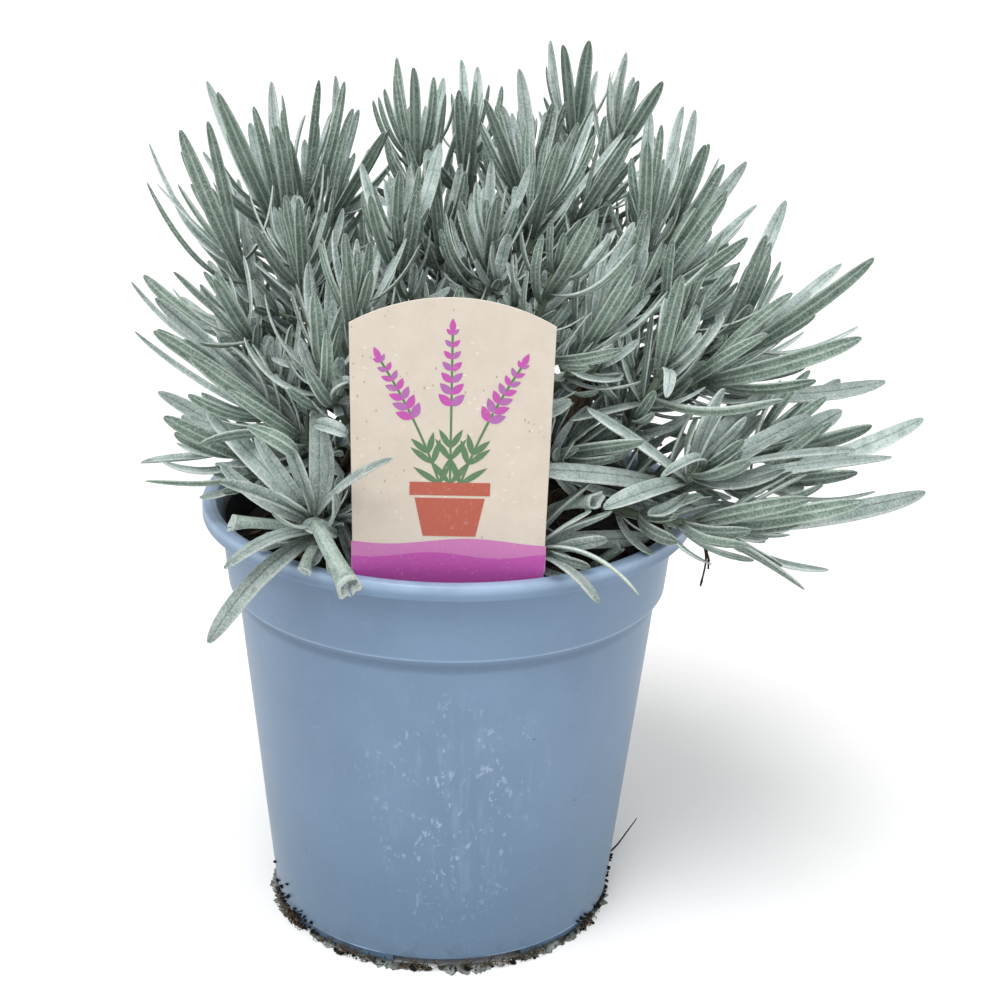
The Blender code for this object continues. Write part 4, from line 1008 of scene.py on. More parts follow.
def soil_height(x, y, grain):
    """The soil's surface: a low mound, a little crumbly, drawn up round the old stems."""
    r = np.hypot(x, y)
    place = np.column_stack([x, y, np.zeros_like(x)])
    height = SOIL_MIDDLE - SOIL_FALL * (r / 58) ** 2.2 + 0.55 * grain.layers(place, 9.0)
    height = height + 0.28 * grain.layers(place + 50, 2.2)
    for foot, _ in WOODY_STEMS.values():
        height += 0.9 * np.exp(-(((x - foot[0]) ** 2 + (y - foot[1]) ** 2) / 60.0))
    return height


def build_soil(material, grain):
    """The root ball: its rough top in fine rings, then its sides down the wall and its flat underside."""
    rings, around = 60, 150
    radii = np.linspace(0.4, 1.0, rings) ** 0.9
    radii = (radii - radii[0]) / (radii[-1] - radii[0])
    turn = full_turn(around)
    level = 57.2 * np.maximum(radii, 0.008)
    x, y = (level[:, None] * np.cos(turn)).ravel(), (level[:, None] * np.sin(turn)).ravel()
    top = np.column_stack([x, y, soil_height(x, y, grain)])
    side = [np.column_stack([r * np.cos(turn), r * np.sin(turn), np.full(around, z)]) for r, z in
            ((56.7, 101.0), (56.1, 97.5), (54.9, 93.0), (45.4, 6.8), (44.0, 5.3), (20.0, 5.3), (0.5, 5.3))]
    made = Builder()
    made.add(np.vstack([top, *side]), ring_faces(rings + len(side), around))
    add_object("soil_ball", made.mesh("soil_ball"), [material], "potting_soil")


def lump(rng, size, grain, long=(1, 1.7), flat=(0.5, 0.9)):
    """A rough grain of soil or bark: an icosphere pushed about, then drawn out and pressed flat."""
    long, flat = rng.uniform(*long), rng.uniform(*flat)
    bm = bmesh.new()
    bmesh.ops.create_icosphere(bm, subdivisions=1, radius=1.0)
    points = np.array([v.co for v in bm.verts])
    faces = [[v.index for v in f.verts] for f in bm.faces]
    bm.free()
    points = points * (1 + 0.35 * grain(points * 1.7 + rng.uniform(-90, 90, 3), 1.0))[:, None]
    points = points * (size * long, size, size * flat)
    turn = Matrix.Rotation(rng.uniform(0, 6.3), 3, "Z") @ Matrix.Rotation(rng.uniform(-0.5, 0.5), 3, "X")
    return points @ np.array(turn).T, faces


def build_crumbs(materials, grain):
    """Loose crumbs, bark bits and fibres on the soil, with none where the label stands."""
    rng = np.random.default_rng(77)
    made = Builder()

    def spot(reach, least=0.02):
        r, turn = reach * math.sqrt(rng.uniform(least, 1)), rng.uniform(0, math.tau)
        return r * math.cos(turn), r * math.sin(turn)

    def lay(x, y, points, faces, lift, slot):
        z = float(soil_height(np.array([x]), np.array([y]), grain)[0])
        made.add(points + (x, y, z + lift), faces, slot=slot, tone=rng.uniform(0, 1))

    for _ in range(1100):
        x, y = spot(CRUMBS_REACH, 0)
        if abs(x - LABEL_X) >= 14 or not -58.5 < y < -53.5:
            size = rng.choice((0.35, 0.6, 1.0), p=(0.5, 0.38, 0.12)) * rng.uniform(0.8, 1.4)
            lay(x, y, *lump(rng, size, grain), size * 0.15, 0)
    for _ in range(70):
        x, y = spot(55)
        if abs(x - LABEL_X) >= 16 or not -59 < y < -52:
            lay(x, y, *lump(rng, rng.uniform(0.6, 1.1), grain, (2.2, 4.0), (0.4, 0.7)), 0.35, 1)
    share = np.linspace(-0.5, 0.5, 8)
    for _ in range(60):
        x, y = spot(54)
        heading, length = rng.uniform(0, math.tau), rng.uniform(3, 11)
        bend = rng.uniform(-0.25, 0.25)
        x = x + length * (share * math.cos(heading) - bend * share**2 * 4 * math.sin(heading))
        y = y + length * (share * math.sin(heading) + bend * share**2 * 4 * math.cos(heading))
        if (np.hypot(x, y) > CRUMBS_REACH).any() or ((np.abs(x - LABEL_X) < 14) & (y < -53)).any():
            continue
        z = soil_height(x, y, grain) + 0.25 + 0.9 * np.abs(share) * rng.uniform(0, 1)
        points = tube(np.column_stack([x, y, z]), np.full(8, rng.uniform(0.10, 0.20)), 5)
        made.add(points, ring_faces(8, 5), slot=1, tone=rng.uniform(0, 1))
    add_object("soil_crumbs", made.mesh("soil_crumbs"), materials)


# How far off the axis the foot's clinging peat starts, and how much the wall leans out as it rises.
FOOT_RADIUS, WALL_SLOPE = 46.9, 0.105


def foot_point(bearing, height, out):
    """A place this far off the pot's wall near its foot."""
    radius = FOOT_RADIUS + height * WALL_SLOPE + out
    return np.array([radius * math.cos(bearing), radius * math.sin(bearing), height])


def build_root_fringe(materials, grain):
    """Fine roots and wet peat that have come out of the drain holes and cling to the foot in mats."""
    rng = np.random.default_rng(31)
    made = Builder()

    def fibre_of(line, thick, bits=5):
        points = tube(line, np.linspace(thick, thick * 0.45, len(line)), bits)
        made.add(points, ring_faces(len(line), bits), slot=1, tone=rng.uniform(0, 1))

    def crumb(place, size):
        points, faces = lump(rng, size, grain)
        points = points + place
        points[:, 2] += max(0.0, 0.03 - points[:, 2].min())
        made.add(points, faces, tone=rng.uniform(0, 0.7))

    mats = [(bearing + rng.uniform(-6, 6), rng.uniform(6, 13), rng.uniform(0.3, 0.9)) for bearing in
            (-205, -163, -141, -118, -97, -72, -57, -30, 24, 61, 97, 128)]
    share = np.linspace(0, 1, 8)
    for bearing, spread, much in mats:
        for _ in range(int(36 * much)):
            start = math.radians(bearing + rng.normal(0, spread * 0.5))
            heading = start + rng.choice((-1, 1)) * rng.uniform(0.5, 1.7)
            length = rng.uniform(1.5, 5.5)
            foot = foot_point(start, 0, rng.uniform(-0.3, 0.8))
            bend = rng.uniform(-1.3, 1.3)
            x = foot[0] + length * share * np.cos(heading + bend * share)
            y = foot[1] + length * share * np.sin(heading + bend * share)
            z = 0.22 + rng.uniform(0.2, 2.6) * (1 - share) ** 1.4 + 0.3 * np.sin(share * 7 + bend) ** 2
            out = np.clip(np.hypot(x, y), 47.1 + z * WALL_SLOPE, 47.3 + 1.7 * much + z * 0.1)
            way = np.arctan2(y, x)
            fibre_of(np.column_stack([out * np.cos(way), out * np.sin(way), z]), rng.uniform(0.10, 0.19))
        for _ in range(int(26 * much)):
            start = math.radians(bearing + rng.normal(0, spread * 0.45))
            size = rng.choice((0.22, 0.4, 0.68), p=(0.5, 0.36, 0.14)) * rng.uniform(0.8, 1.3)
            crumb(foot_point(start, size * 0.3, size * 0.5 + abs(rng.normal(0, 0.9)) * much), size)
    for bearing, spread, top in ((-158, 9, 11), (-143, 7, 5), (-8, 8, 13), (-30, 7, 4), (150, 9, 8)):
        for _ in range(26):
            height = top * rng.uniform(0, 1) ** 1.6
            start = math.radians(bearing + rng.normal(0, spread * (1 - 0.5 * height / top)))
            crumb(foot_point(start, height + 0.3, 0.12), rng.uniform(0.25, 0.62))
    share = np.linspace(0, 1, 14)[:, None]
    twig = np.array([(46.6, 9.5, 1.2), (52.0, 18.0, 0.9), (57.5, 27.0, 5.2)])
    line = (1 - share) ** 2 * twig[0] + 2 * share * (1 - share) * twig[1] + share**2 * twig[2]
    fibre_of(line + 0.25 * np.sin(share * 11) * (0.3, 1, 0.4), 0.34, 7)
    add_object("root_fringe", made.mesh("root_fringe"), materials)


def build_root_mats(material):
    """Thin wet felts of roots, pressed flat where they have come out round the foot, with ragged edges."""
    grain, rng, made = Grain(9), np.random.default_rng(57), Builder()
    wall = 46.45
    for bearing, spread, reach in ((-163, 22, 2.6), (-128, 10, 2.0), (-104, 12, 3.0), (-80, 9, 3.4),
                                   (-46, 18, 2.4), (-14, 8, 1.8), (40, 30, 2.4), (120, 28, 2.6)):
        count = int(spread * 3)
        share = np.linspace(0, 1, count)
        turn = np.radians(bearing + spread * (2 * share - 1))
        around = np.column_stack([60 * np.cos(turn), 60 * np.sin(turn), 0 * turn])
        swell = np.sin(math.pi * share) ** 0.5
        ragged = 0.35 + 0.8 * np.abs(grain(around, 2.6)) + rng.uniform(0, 0.35, count)
        edge = 0.15 + reach * swell * ragged
        top = 0.35 + 0.75 * swell * (0.5 + 0.5 * grain(around + 40, 3.0))
        section = ((0 * edge, 0.02 + 0 * top), (edge, 0.02 + 0 * top), (edge, 0.12 + 0.12 * top),
                   (0.55 * edge, 0.2 + 0.5 * top), (0 * edge, 0.3 + top))
        rings = np.stack([np.column_stack([(wall + out) * np.cos(turn), (wall + out) * np.sin(turn), height])
                          for out, height in section], axis=1)
        made.add(rings.reshape(-1, 3), ring_faces(count, len(section)))
    add_object("root_mats", made.mesh("root_mats"), [material])


def build_dry_stalk(material):
    """A thin dead flower stalk that hangs over the rim on the right, with a stub of a side branch."""
    made = Builder()
    stalk = ((50.0, -20.0, 114.0), (58.0, -24.0, 120.6), (64.6, -27.0, 119.0), (66.6, -27.6, 111.0),
             (65.4, -27.4, 103.5))
    stub = ((65.9, -27.4, 114.0), (66.9, -28.6, 111.5), (66.9, -29.2, 109.0))
    thick = np.linspace(0.42, 0.22, 24) * (1 + 0.5 * (np.arange(24) % 9 == 4))
    for run in (np.array(stalk), np.array(stub)):
        steps = np.linspace(0, len(run) - 1, 24)
        line = np.array([np.interp(steps, range(len(run)), column) for column in run.T]).T
        for _ in range(3):
            line[1:-1] = (line[:-2] + 2 * line[1:-1] + line[2:]) / 4
        made.add(tube(line, thick, 7), ring_faces(24, 7), tone=0.25)
    add_object("dry_stalk", made.mesh("dry_stalk"), [material])


# ---------------------------------------------------------------- plant label
# Half the card's width, its height up to its arched top, the arch's rise and the thickness, in millimetres.
LABEL_HALF, LABEL_SHOULDER, LABEL_ARCH, LABEL_THICK = 23.4, 62.0, 6.4, 0.5
# The bevel round the card's edges, in metres.
LABEL_BEVEL = 0.00009
# How far the print stands off the card, how much higher each shape lies than the last, how deep they all
# go, and half the width of the bands of colour.
PRINT_RAISED, PRINT_STEP, PRINT_SUNK = 0.020, 0.0012, 0.030
PRINT_HALF = 23.05
LABEL_FRAME = (Matrix.Translation(POT_AXIS + np.array([LABEL_X, LABEL_Y, POT_HEIGHT]) * MM)
               @ Matrix.Rotation(math.radians(1.6), 4, "Z") @ Matrix.Rotation(math.radians(94.0), 4, "X"))


def label_outline():
    """The card's outline, its top an arc; y is above the pot's rim."""
    half = LABEL_HALF
    radius = (half**2 + LABEL_ARCH**2) / (2 * LABEL_ARCH)
    middle = LABEL_SHOULDER + LABEL_ARCH - radius
    reach = math.asin(half / radius)
    top = [(radius * math.sin(a), middle + radius * math.cos(a)) for a in np.linspace(reach, -reach, 33)]
    low = [(half - 0.7, -1.3), (half - 6.0, -4.2), (half - 7.6, -4.9), (10.5, -10.0), (3.0, -29.0)]
    return top + [(-x, y) for x, y in low] + [(0.0, -33.0)] + low[::-1]


def leaf_shape(foot, heading, length, width, points=10):
    """A pointed oval, from its foot along a heading in degrees."""
    heading = math.radians(heading)
    along, side = (math.cos(heading), math.sin(heading)), (-math.sin(heading), math.cos(heading))
    t = np.linspace(0, 1, points)
    half = 0.5 * width * np.sin(math.pi * t**0.85) ** 0.9
    rows = [(t, half), (t[-2:0:-1], -half[-2:0:-1])]
    return [(foot[0] + length * a * along[0] + b * side[0], foot[1] + length * a * along[1] + b * side[1])
            for run, wide in rows for a, b in zip(run, wide)]


def ribbon(line, width):
    line = np.asarray(line, float)
    along = np.gradient(line, axis=0)
    side = np.column_stack([-along[:, 1], along[:, 0]])
    side *= (width / 2 / np.linalg.norm(side, axis=1))[:, None]
    return [tuple(p) for p in np.vstack([line + side, (line - side)[::-1]])]


def printed_shapes():
    """(ink, outline) for the card's plain picture: three lavender sprigs in a clay pot over two bands."""
    half = PRINT_HALF
    span = np.linspace(-half, half, 41)
    hill = 8.2 + 0.8 * np.sin(span * 0.16 + 0.8)
    field = 4.6 + 0.7 * np.sin(span * 0.21 + 2.4)
    low = [(-17.2, -4.1), (17.2, -4.1), (22.5, -1.3)]
    shapes = [("pink", [(-half, 0.5), (half, 0.5), *zip(span[::-1], hill[::-1])]),
              ("magenta", [*low, *zip(span[::-1], field[::-1]), (-22.5, -1.3)])]
    sprigs = ((0.0, 23.0, 90, 39.0, 0.0), (-2.4, 23.0, 108, 35.0, 7.0), (2.4, 23.0, 72, 34.0, -7.0))
    for x, y, heading, length, bend in sprigs:
        t = np.linspace(0, 1, 14)
        way = np.radians(heading + bend * t)
        line = np.column_stack([x + length * t * np.cos(way), y + length * t * np.sin(way)])
        shapes.append(("green", ribbon(line, 0.55)))
        for k, t_leaf in enumerate((0.06, 0.16, 0.27)):
            i = int(t_leaf * 13)
            for side in (-1, 1):
                shapes.append(("green", leaf_shape(line[i], heading + side * (38 - 4 * k), 7.5 - k, 1.5)))
        for k, t_bloom in enumerate(np.linspace(0.50, 0.94, 7)):
            i = t_bloom * 13
            place = line[int(i)] + (line[min(13, int(i) + 1)] - line[int(i)]) * (i % 1)
            size = 4.2 - 0.36 * k
            for side in (-1, 1):
                ink = "magenta" if (k + (side > 0)) % 2 else "lilac"
                shapes.append((ink, leaf_shape(place, heading + bend + side * 46, size, size * 0.50)))
        bud = line[-1] - (line[-1] - line[-2]) * 0.6
        shapes.append(("magenta", leaf_shape(bud, heading + bend, 3.4, 1.5)))
    shapes.append(("clay", [(-6.2, 9.6), (6.2, 9.6), (8.2, 19.4), (-8.2, 19.4)]))
    shapes.append(("clay", [(-9.4, 20.1), (9.4, 20.1), (9.4, 23.4), (-9.4, 23.4)]))
    return shapes


def build_label(paper, inks, edge):
    bm = bmesh.new()
    half = LABEL_THICK / 2
    verts = [bm.verts.new((x * MM, y * MM, -half * MM)) for x, y in label_outline()]
    face = bm.faces.new(verts)
    if face.normal.z > 0:
        face.normal_flip()
    grown = bmesh.ops.extrude_face_region(bm, geom=[face])
    for vert in grown["geom"]:
        if isinstance(vert, bmesh.types.BMVert):
            vert.co.z = half * MM
    bmesh.ops.recalc_face_normals(bm, faces=bm.faces)
    rims = [e for e in bm.edges if abs(e.verts[0].co.z - e.verts[1].co.z) < 1e-7]
    bmesh.ops.bevel(bm, geom=rims, offset=LABEL_BEVEL, segments=2, affect="EDGES")
    names = list(inks)
    for face in bm.faces:
        # Faces round the card's edge take the last material, a paler colour as a painted highlight.
        face.material_index = len(names) + 1 if abs(face.normal.z) < 0.8 else 0
    for lift, (ink, outline) in enumerate(printed_shapes()):
        top = (half + PRINT_RAISED + PRINT_STEP * lift) * MM
        low = (half - PRINT_SUNK) * MM
        upper = [bm.verts.new((x * MM, y * MM, top)) for x, y in outline]
        under = [bm.verts.new((x * MM, y * MM, low)) for x, y in outline]
        made = [bm.faces.new(upper), bm.faces.new(under[::-1])]
        for i in range(len(upper)):
            k = (i + 1) % len(upper)
            made.append(bm.faces.new((under[i], under[k], upper[k], upper[i])))
        bmesh.ops.recalc_face_normals(bm, faces=made)
        for new in made:
            new.material_index = 1 + names.index(ink)
    bmesh.ops.triangulate(bm, faces=[f for f in bm.faces if len(f.verts) > 4])
    bm.transform(LABEL_FRAME)
    mesh = bpy.data.meshes.new("label_card")
    bm.to_mesh(mesh)
    bm.free()
    add_object("label_card", mesh, [paper, *inks.values(), edge], "plant_label")


# ---------------------------------------------------------------- materials
def colour(red, green, blue):
    """A display colour, 0 to 255, as the linear colour that shaders take."""
    return tuple((c / 255 / 12.92 if c / 255 <= 0.04045 else ((c / 255 + 0.055) / 1.055) ** 2.4)
                 for c in (red, green, blue))


class Value:
    """A node's output. Products, sums and differences are Math nodes, and | is the larger of two."""

    def __init__(self, shader, socket):
        self.shader, self.socket = shader, socket

    def math(self, operation, *others):
        return self.shader.node("Math", 0, dict(enumerate((self, *others))), operation=operation)

    def __mul__(self, other):
        return self.math("MULTIPLY", other)

    def __add__(self, other):
        return self.math("ADD", other)

    def __sub__(self, other):
        return self.math("SUBTRACT", other)

    def __or__(self, other):
        return self.math("MAXIMUM", other)

    def smooth(self, low, high, to_low=0.0, to_high=1.0):
        """Eases from to_low to to_high as the value goes from low to high."""
        inputs = {"Value": self, "From Min": low, "From Max": high, "To Min": to_low, "To Max": to_high}
        return self.shader.node("MapRange", 0, inputs, interpolation_type="SMOOTHSTEP")

    def near(self, level, none, full, most=1.0):
        """Rises to most where the value is within full of a level, from 0 where it is none or more away."""
        return (self - level).math("ABSOLUTE").smooth(none, full, 0.0, most)


class Shader:
    """A material's node tree, built from short calls that each return a value; colours are 0 to 255."""

    def __init__(self, name, roughness, specular):
        self.material = bpy.data.materials.new(name)
        self.material.use_nodes = True
        self.tree = self.material.node_tree
        self.surface = self.tree.nodes["Principled BSDF"]
        self.set(self.surface, "Roughness", roughness)
        self.set(self.surface, "Specular IOR Level", specular)
        self.place = self.node("TexCoord", "Object")
        self.base = None

    def set(self, node, socket, value):
        where = node.inputs[socket]
        if isinstance(value, Value):
            self.tree.links.new(value.socket, where)
        elif where.type == "RGBA":
            where.default_value = (*colour(*value), 1.0)
        else:
            where.default_value = value

    def sheen(self, weight, roughness, tint=(255, 255, 255)):
        for name, value in (("Weight", weight), ("Roughness", roughness), ("Tint", tint)):
            self.set(self.surface, "Sheen " + name, value)

    def node(self, kind, out=0, inputs=None, **settings):
        node = self.tree.nodes.new("ShaderNode" + kind)
        for key, value in settings.items():
            setattr(node, key, value)
        for socket, value in (inputs or {}).items():
            self.set(node, socket, value)
        return Value(self, node.outputs[out])

    def attribute(self, name, out="Fac"):
        return self.node("Attribute", out, attribute_name=name)

    def parts(self, vector):
        return [self.node("SeparateXYZ", out, {0: vector}) for out in range(3)]

    def at(self, stretch):
        """The place on the object, stretched along each axis."""
        return self.node("Mapping", 0, {"Vector": self.place, "Scale": stretch}) if stretch else self.place

    def noise(self, scale, detail=3.0, roughness=0.55, stretch=None, at=None):
        inputs = {"Vector": at or self.at(stretch), "Scale": scale, "Detail": detail, "Roughness": roughness}
        return self.node("TexNoise", 0, inputs)

    def cells(self, scale, stretch=None):
        return self.node("TexVoronoi", "Distance", {"Vector": self.at(stretch), "Scale": scale})

    def distance(self, centre, stretch):
        """How far off a centre the place is, in stretched metres."""
        inputs = {0: self.at(stretch), 1: tuple(np.array(centre) * stretch)}
        return self.node("VectorMath", 1, inputs, operation="DISTANCE")

    def mix(self, share, first, second, blend="MIX"):
        return self.node("Mix", 2, {0: share, 6: first, 7: second}, data_type="RGBA", blend_type=blend)

    def coat(self, share, tint):
        """Lays a colour over the base, as far as the share says."""
        self.base = self.mix(share, self.base, tint)

    def finish(self, relief=None, distance=0.0, strength=0.0):
        self.set(self.surface, "Base Color", self.base)
        if relief:
            inputs = {"Height": relief, "Distance": distance, "Strength": strength}
            self.set(self.surface, "Normal", self.node("Bump", 0, inputs))
        return self.material


def leaf_felt():
    """Silver felt above, greener with a fine pale midrib and rolled pale margins beneath."""
    s = Shader("leaf_felt", 0.85, 0.25)
    s.sheen(0.30, 0.45, (226, 236, 232))
    across, along, face = s.parts(s.attribute("leaf", "Vector"))
    tone, away = s.attribute("tone"), across.math("ABSOLUTE")
    mottle, felt, quilt = s.noise(260.0, 4.0, 0.6), s.noise(2100.0, 3.0, 0.65), s.noise(1050.0, 1.0, 0.4)
    upper = s.mix(mottle.smooth(0.32, 0.68), (151, 169, 164), (189, 203, 199))
    # Painted shade darkens the groove over the midrib on the upper face.
    upper = s.mix(away.smooth(0.13, 0.02) * 0.62, upper, (92, 110, 105))
    upper = s.mix(away.smooth(0.76, 0.95) * 0.85, upper, (228, 237, 233))
    under = s.mix(mottle.smooth(0.3, 0.7), (98, 121, 107), (131, 153, 140))
    rib = away.smooth(0.20, 0.05) | away.smooth(0.64, 0.90)
    under = s.mix(rib * 0.74, under, (192, 208, 194))
    s.base = s.mix(face.smooth(0.25, 0.75), under, upper)
    # Painted shade: each leaf darkens towards its foot, deep in the tuft.
    s.coat(along.smooth(0.38, 0.0) * 0.78, (72, 87, 70))
    s.coat(along.smooth(0.74, 1.0) * 0.30, (96, 110, 102))
    # Painted shade: each leaf's own tone is darkened near the crown's middle and on the low leaves.
    shade = tone.smooth(0.0, 1.0, 0.76, 1.10)
    shade = shade * s.distance(PAINTED_SHADE_CENTRE, (PAINTED_SHADE_CENTRE_SQUASH, 1.0, 1.0)).smooth(0.020, 0.058, 0.22, 1.0)
    shade = shade * s.parts(s.place)[2].smooth(0.118, 0.150, 0.84, 1.0)
    s.base = s.mix(1.0, s.base, s.node("CombineColor", 0, {0: shade, 1: shade, 2: shade}), "MULTIPLY")
    s.coat(felt.smooth(0.42, 0.70, 0.0, 0.28), (232, 240, 238))
    s.coat(felt.smooth(0.48, 0.30, 0.0, 0.13), (72, 90, 84))
    s.coat(quilt.smooth(0.50, 0.30, 0.0, 0.13), (72, 90, 84))
    lengthwise = s.node("CombineXYZ", 0, {0: across * 3.0, 1: along * 30.0, 2: tone})
    veins = s.noise(1.6, 2.0, at=lengthwise) * 0.6
    return s.finish(felt + veins + quilt * 1.3, 0.00032, 0.85)


def stem_felt():
    s = Shader("stem_felt", 0.85, 0.25)
    s.sheen(0.3, 0.5)
    along = s.parts(s.attribute("leaf", "Vector"))[1]
    mottle = s.noise(420.0, 4.0, 0.6)
    s.base = s.mix(mottle, (80, 94, 74), (118, 131, 110))
    s.coat(along.smooth(0.45, 0.0) * mottle.smooth(0.25, 0.6, 0.6, 1.0), (78, 68, 54))
    return s.finish(s.noise(1500.0), 0.00015, 0.5)


def bark():
    s = Shader("bark", 0.92, 0.2)
    strips = s.noise(900.0, 5.0, 0.65, (1.0, 1.0, 0.22))
    s.base = s.mix(strips.smooth(0.35, 0.68), (44, 36, 30), (112, 96, 78))
    s.coat(s.noise(180.0).smooth(0.5, 0.72, 0.0, 0.6), (92, 94, 76))
    return s.finish(strips, 0.0004, 0.8)


def pot_plastic():
    """Blue-grey polypropylene: satin, faintly mottled, with dried water marks, scuffs and a dirty foot."""
    s = Shader("pot_plastic", 0.40, 0.40)
    height = s.parts(s.place)[2]
    cloud = s.noise(20.0, 4.0, 0.6)
    s.base = s.mix(cloud.smooth(0.3, 0.7), (104, 127, 153), (113, 137, 164))
    # Painted shade: the wall darkens towards the bottom.
    s.coat(height.smooth(0.070, 0.004, 0.0, 0.85), (88, 113, 137))
    # The inside wall above the soil is darkened almost to black in patches.
    within = (s.distance(POT_AXIS, (1.0, 1.0, 0.0)) - height * 0.115).smooth(0.0472, 0.0466)
    inside_darkening = within * height.smooth(0.0970, 0.0985)
    s.coat(inside_darkening * s.noise(120.0, 4.0).smooth(0.25, 0.6, 0.78, 1.0), (24, 25, 24))
    # Painted highlights: the rim, the collar's edge and the foot's edge are made pale, broken up by noise.
    painted_highlight_breakup = s.noise(70.0, 4.0, 0.6).smooth(0.30, 0.62, 0.55, 1.0)
    rim = height.smooth(POT_HIGH.z - 0.0032, POT_HIGH.z - 0.0006)
    edge = height.near(0.0946, 0.0007, 0.0001)
    foot = height.near(0.0033, 0.0004, 0.0001) * s.noise(30.0).smooth(0.42, 0.58)
    s.coat((rim | (edge * 0.55 | foot)) * painted_highlight_breakup, (153, 175, 202))
    # Painted shade darkens the crease under the collar.
    s.coat(height.near(0.0918, 0.0022, 0.0006, 0.40), (72, 94, 118))
    # Dried water: specks and runs, thickest where the pot was splashed in front.
    splash = s.distance(POT_AXIS + (0.004, -0.050, 0.052), (1.0, 0.6, 0.72))
    wet = (splash + s.noise(60.0) * 0.016).smooth(0.040, 0.018)
    patch = s.noise(150.0, 4.0, 0.65).smooth(0.44, 0.60)
    beads = s.noise(760.0, 2.0, 0.45, (1.0, 1.0, 0.62)).smooth(0.57, 0.67, 0.0, 0.8)
    blots = s.noise(420.0, 4.0, 0.75, (1.0, 1.0, 0.75)).smooth(0.60, 0.66)
    specks = (beads * patch | blots * patch.smooth(0.5, 1.0)) * (wet | 0.10)
    runs = s.noise(330.0, 4.0, 0.7, (1.0, 1.0, 0.16)).smooth(0.50, 0.68)
    film = runs * (wet | 0.18) * 0.15
    s.coat(specks * 0.75 | film, (160, 179, 200))
    # Scuffs round the wall, specks of grit and a soiled foot.
    s.coat(s.noise(240.0, 3.0, 0.6, (0.3, 0.3, 3.5)).smooth(0.66, 0.78, 0.0, 0.20), (160, 182, 206))
    grit = s.cells(190.0).smooth(0.060, 0.035) * s.noise(24.0).smooth(0.50, 0.62)
    s.coat(grit * 0.8, (48, 46, 40))
    soiled = height.smooth(0.010, 0.0005) * s.noise(190.0, 4.0, 0.7).smooth(0.50, 0.68)
    s.coat(soiled * 0.45, (66, 62, 52))
    s.set(s.surface, "Roughness", cloud.smooth(0.3, 0.7, 0.34, 0.46) + specks * 0.25)
    return s.finish(s.noise(1400.0, 2.0) * 0.25 + s.noise(90.0) + specks, 0.00012, 0.35)


def peat():
    s = Shader("peat", 0.95, 0.25)
    grain = s.noise(700.0, 5.0, 0.7)
    s.base = s.mix(grain.smooth(0.35, 0.75), (7, 8, 8), (30, 26, 22))
    s.coat(s.attribute("tone").smooth(0.70, 1.0, 0.0, 0.45), (72, 56, 42))
    return s.finish(grain, 0.0006, 0.8)


def fibre():
    s = Shader("fibre", 0.9, 0.2)
    s.base = s.mix(s.attribute("tone"), (28, 26, 22), (104, 90, 70))
    grain = s.noise(900.0)
    s.coat(grain.smooth(0.3, 0.7, 0.0, 0.5), (40, 30, 22))
    return s.finish(grain, 0.0002, 0.5)


def root_felt():
    """Wet, grey-green felted roots with darker hairs."""
    s = Shader("root_felt", 0.35, 0.5)
    hairs = s.noise(1100.0, 4.0, 0.7, (1.0, 0.45, 1.0))
    s.base = s.mix(s.noise(240.0, 4.0).smooth(0.35, 0.65), (84, 88, 82), (136, 144, 140))
    s.coat(hairs.smooth(0.50, 0.60), (34, 34, 28))
    return s.finish(hairs, 0.0003, 0.8)


def card_relief(s):
    return s.finish(s.noise(900.0, 4.0, 0.7), 0.00008, 0.5)


def label_paper():
    """Uncoated cream card with pulp flecks."""
    s = Shader("label_paper", 0.78, 0.3)
    s.base = s.mix(s.noise(160.0, 5.0, 0.7).smooth(0.3, 0.7), (200, 189, 176), (206, 196, 183))
    pale = s.cells(460.0, (0.7, 1.0, 1.2)).smooth(0.19, 0.08) * s.noise(90.0).smooth(0.46, 0.56)
    dark = s.cells(420.0, (1.4, 1.0, 0.8)).smooth(0.17, 0.08) * s.noise(70.0).smooth(0.46, 0.56)
    s.coat(pale * 0.7, (222, 214, 203))
    s.coat(dark * 0.6, (142, 120, 98))
    return card_relief(s)


def ink(name, tint):
    s = Shader("ink_" + name, 0.6, 0.35)
    s.base = s.mix(s.noise(1100.0, 4.0, 0.7).smooth(0.56, 0.80, 0.0, 0.5), tint, (198, 187, 173))
    return card_relief(s)


def floor_material():
    s = Shader("floor", 0.9, 0.1)
    s.base = s.mix(s.noise(3.0), (244, 244, 243), (250, 250, 249))
    return s.finish()


# ---------------------------------------------------------------- the plant, pot, soil and label
felt, stem, wood, soil, roots = leaf_felt(), stem_felt(), bark(), peat(), fibre()
room = Room()
woody_stems, shoots, lost = grow_plant(room)
grow_fine_leaves(room, shoots, lost)
grain = Grain(3)
for number, shoot in enumerate(shoots, start=1):
    build_shoot(number, shoot, [felt, stem], grain)
for name, arms in woody_stems.items():
    build_woody_stem(name, WOODY_STEMS[name][0], arms, wood, grain)
build_pot(pot_plastic())
build_soil(soil, grain)
build_crumbs([soil, roots], grain)
build_root_fringe([soil, roots], grain)
build_root_mats(root_felt())
build_dry_stalk(roots)
INKS = {"pink": (190, 116, 170), "magenta": (181, 80, 162), "lilac": (166, 100, 164), "green": (88, 120, 86),
        "clay": (172, 88, 72)}
inks = {name: ink(name, tint) for name, tint in INKS.items()}
# The card's edge ink is a painted highlight, paler than the paper.
build_label(label_paper(), inks, ink("edge", (236, 230, 220)))


# ---------------------------------------------------------------- floor, light and camera
def build_floor():
    bm = bmesh.new()
    bmesh.ops.create_grid(bm, x_segments=1, y_segments=1, size=60.0)
    mesh = bpy.data.meshes.new("floor")
    bm.to_mesh(mesh)
    bm.free()
    mesh.materials.append(floor_material())
    floor = link("floor", mesh)


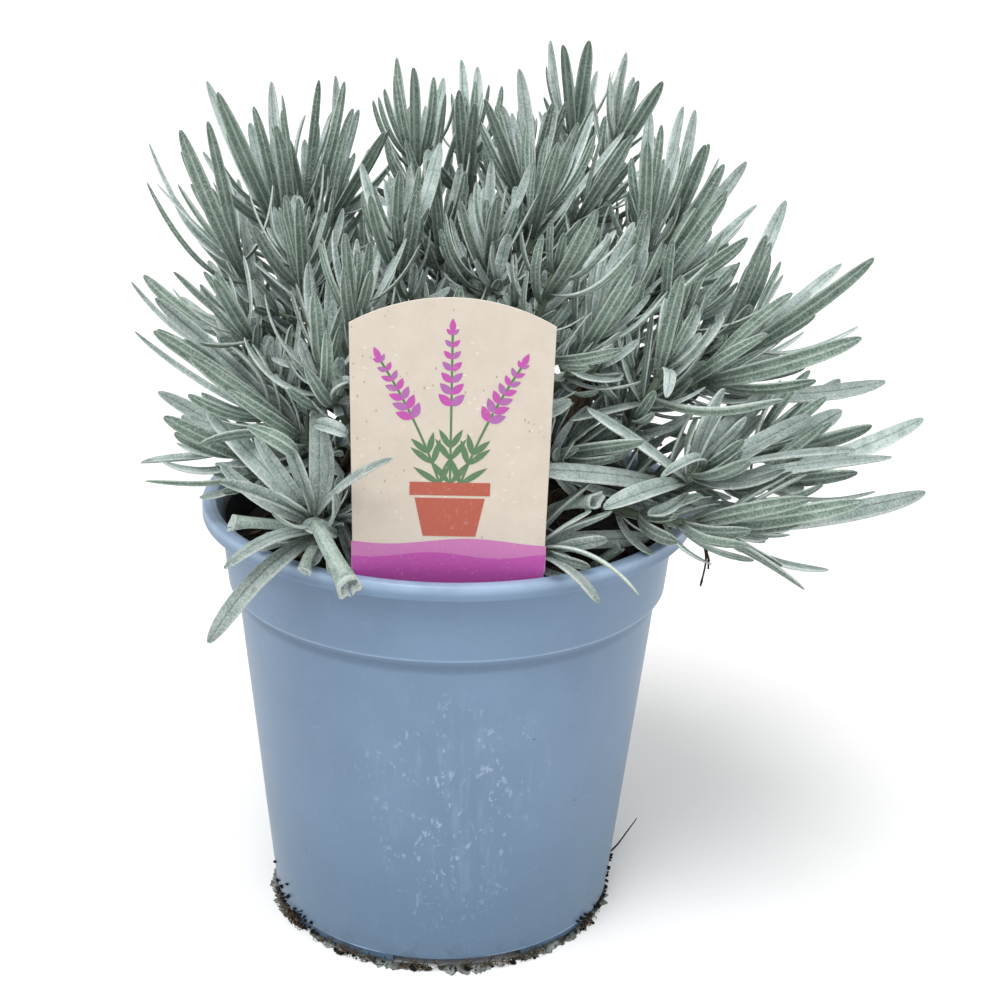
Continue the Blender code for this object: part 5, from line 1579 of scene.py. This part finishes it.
def add_light(kind, name, place, turn, power, **settings):
    light = bpy.data.lights.new(name, kind)
    light.energy = power
    for key, value in settings.items():
        setattr(light, key, value)
    obj = link(name, light)
    obj.location = place
    obj.rotation_mode = "QUATERNION"
    obj.rotation_quaternion = turn


# The key light comes from far off on this side; the fill light stands here and faces the crown.
KEY_SIDE = Vector((-0.22, -0.50, 1.0))
FILL_PLACE, FILL_TARGET = Vector((0.75, -0.5, 0.5)), Vector((0.0, 0.0, 0.12))
KEY_POWER, FILL_POWER, WORLD_POWER = 2.2, 1.0, 0.69
# How far the camera looks down, in radians, its distance and target in millimetres, its roll and its lens.
CAMERA_ELEVATION = 0.350
CAMERA_DISTANCE = 500.0
CAMERA_TARGET = np.array([13.637, 0.0, 115.342])
CAMERA_ROLL = 0.029
CAMERA_LENS = 67.46


def build_camera():
    """The viewpoint: in front, looking down at 20 degrees, with a slight roll."""
    away = np.array([0.0, -math.cos(CAMERA_ELEVATION), math.sin(CAMERA_ELEVATION)])
    camera = link("camera", bpy.data.cameras.new("camera"))
    camera.data.lens = CAMERA_LENS
    camera.data.sensor_width = 36.0
    camera.data.clip_start = 0.01
    camera.data.clip_end = 50.0
    camera.location = Vector((CAMERA_TARGET + away * CAMERA_DISTANCE) * MM + POT_AXIS)
    camera.rotation_mode = "QUATERNION"
    straight = Vector(-away).to_track_quat("-Z", "Y")
    camera.rotation_quaternion = straight @ Matrix.Rotation(CAMERA_ROLL, 3, "Z").to_quaternion()
    bpy.context.scene.camera = camera


build_floor()
add_light("SUN", "key", KEY_SIDE, KEY_SIDE.to_track_quat("Z", "Y"), KEY_POWER, angle=math.radians(34.0))
add_light("AREA", "fill", FILL_PLACE, (FILL_TARGET - FILL_PLACE).to_track_quat("-Z", "Y"), FILL_POWER,
          shape="DISK", size=0.8, color=(0.97, 0.98, 1.0))
world = bpy.data.worlds.new("studio")
world.use_nodes = True
background = world.node_tree.nodes["Background"].inputs
background["Color"].default_value = (1.0, 1.0, 1.0, 1.0)
background["Strength"].default_value = WORLD_POWER
bpy.context.scene.world = world
bpy.context.scene.view_settings.view_transform = "Standard"
build_camera()
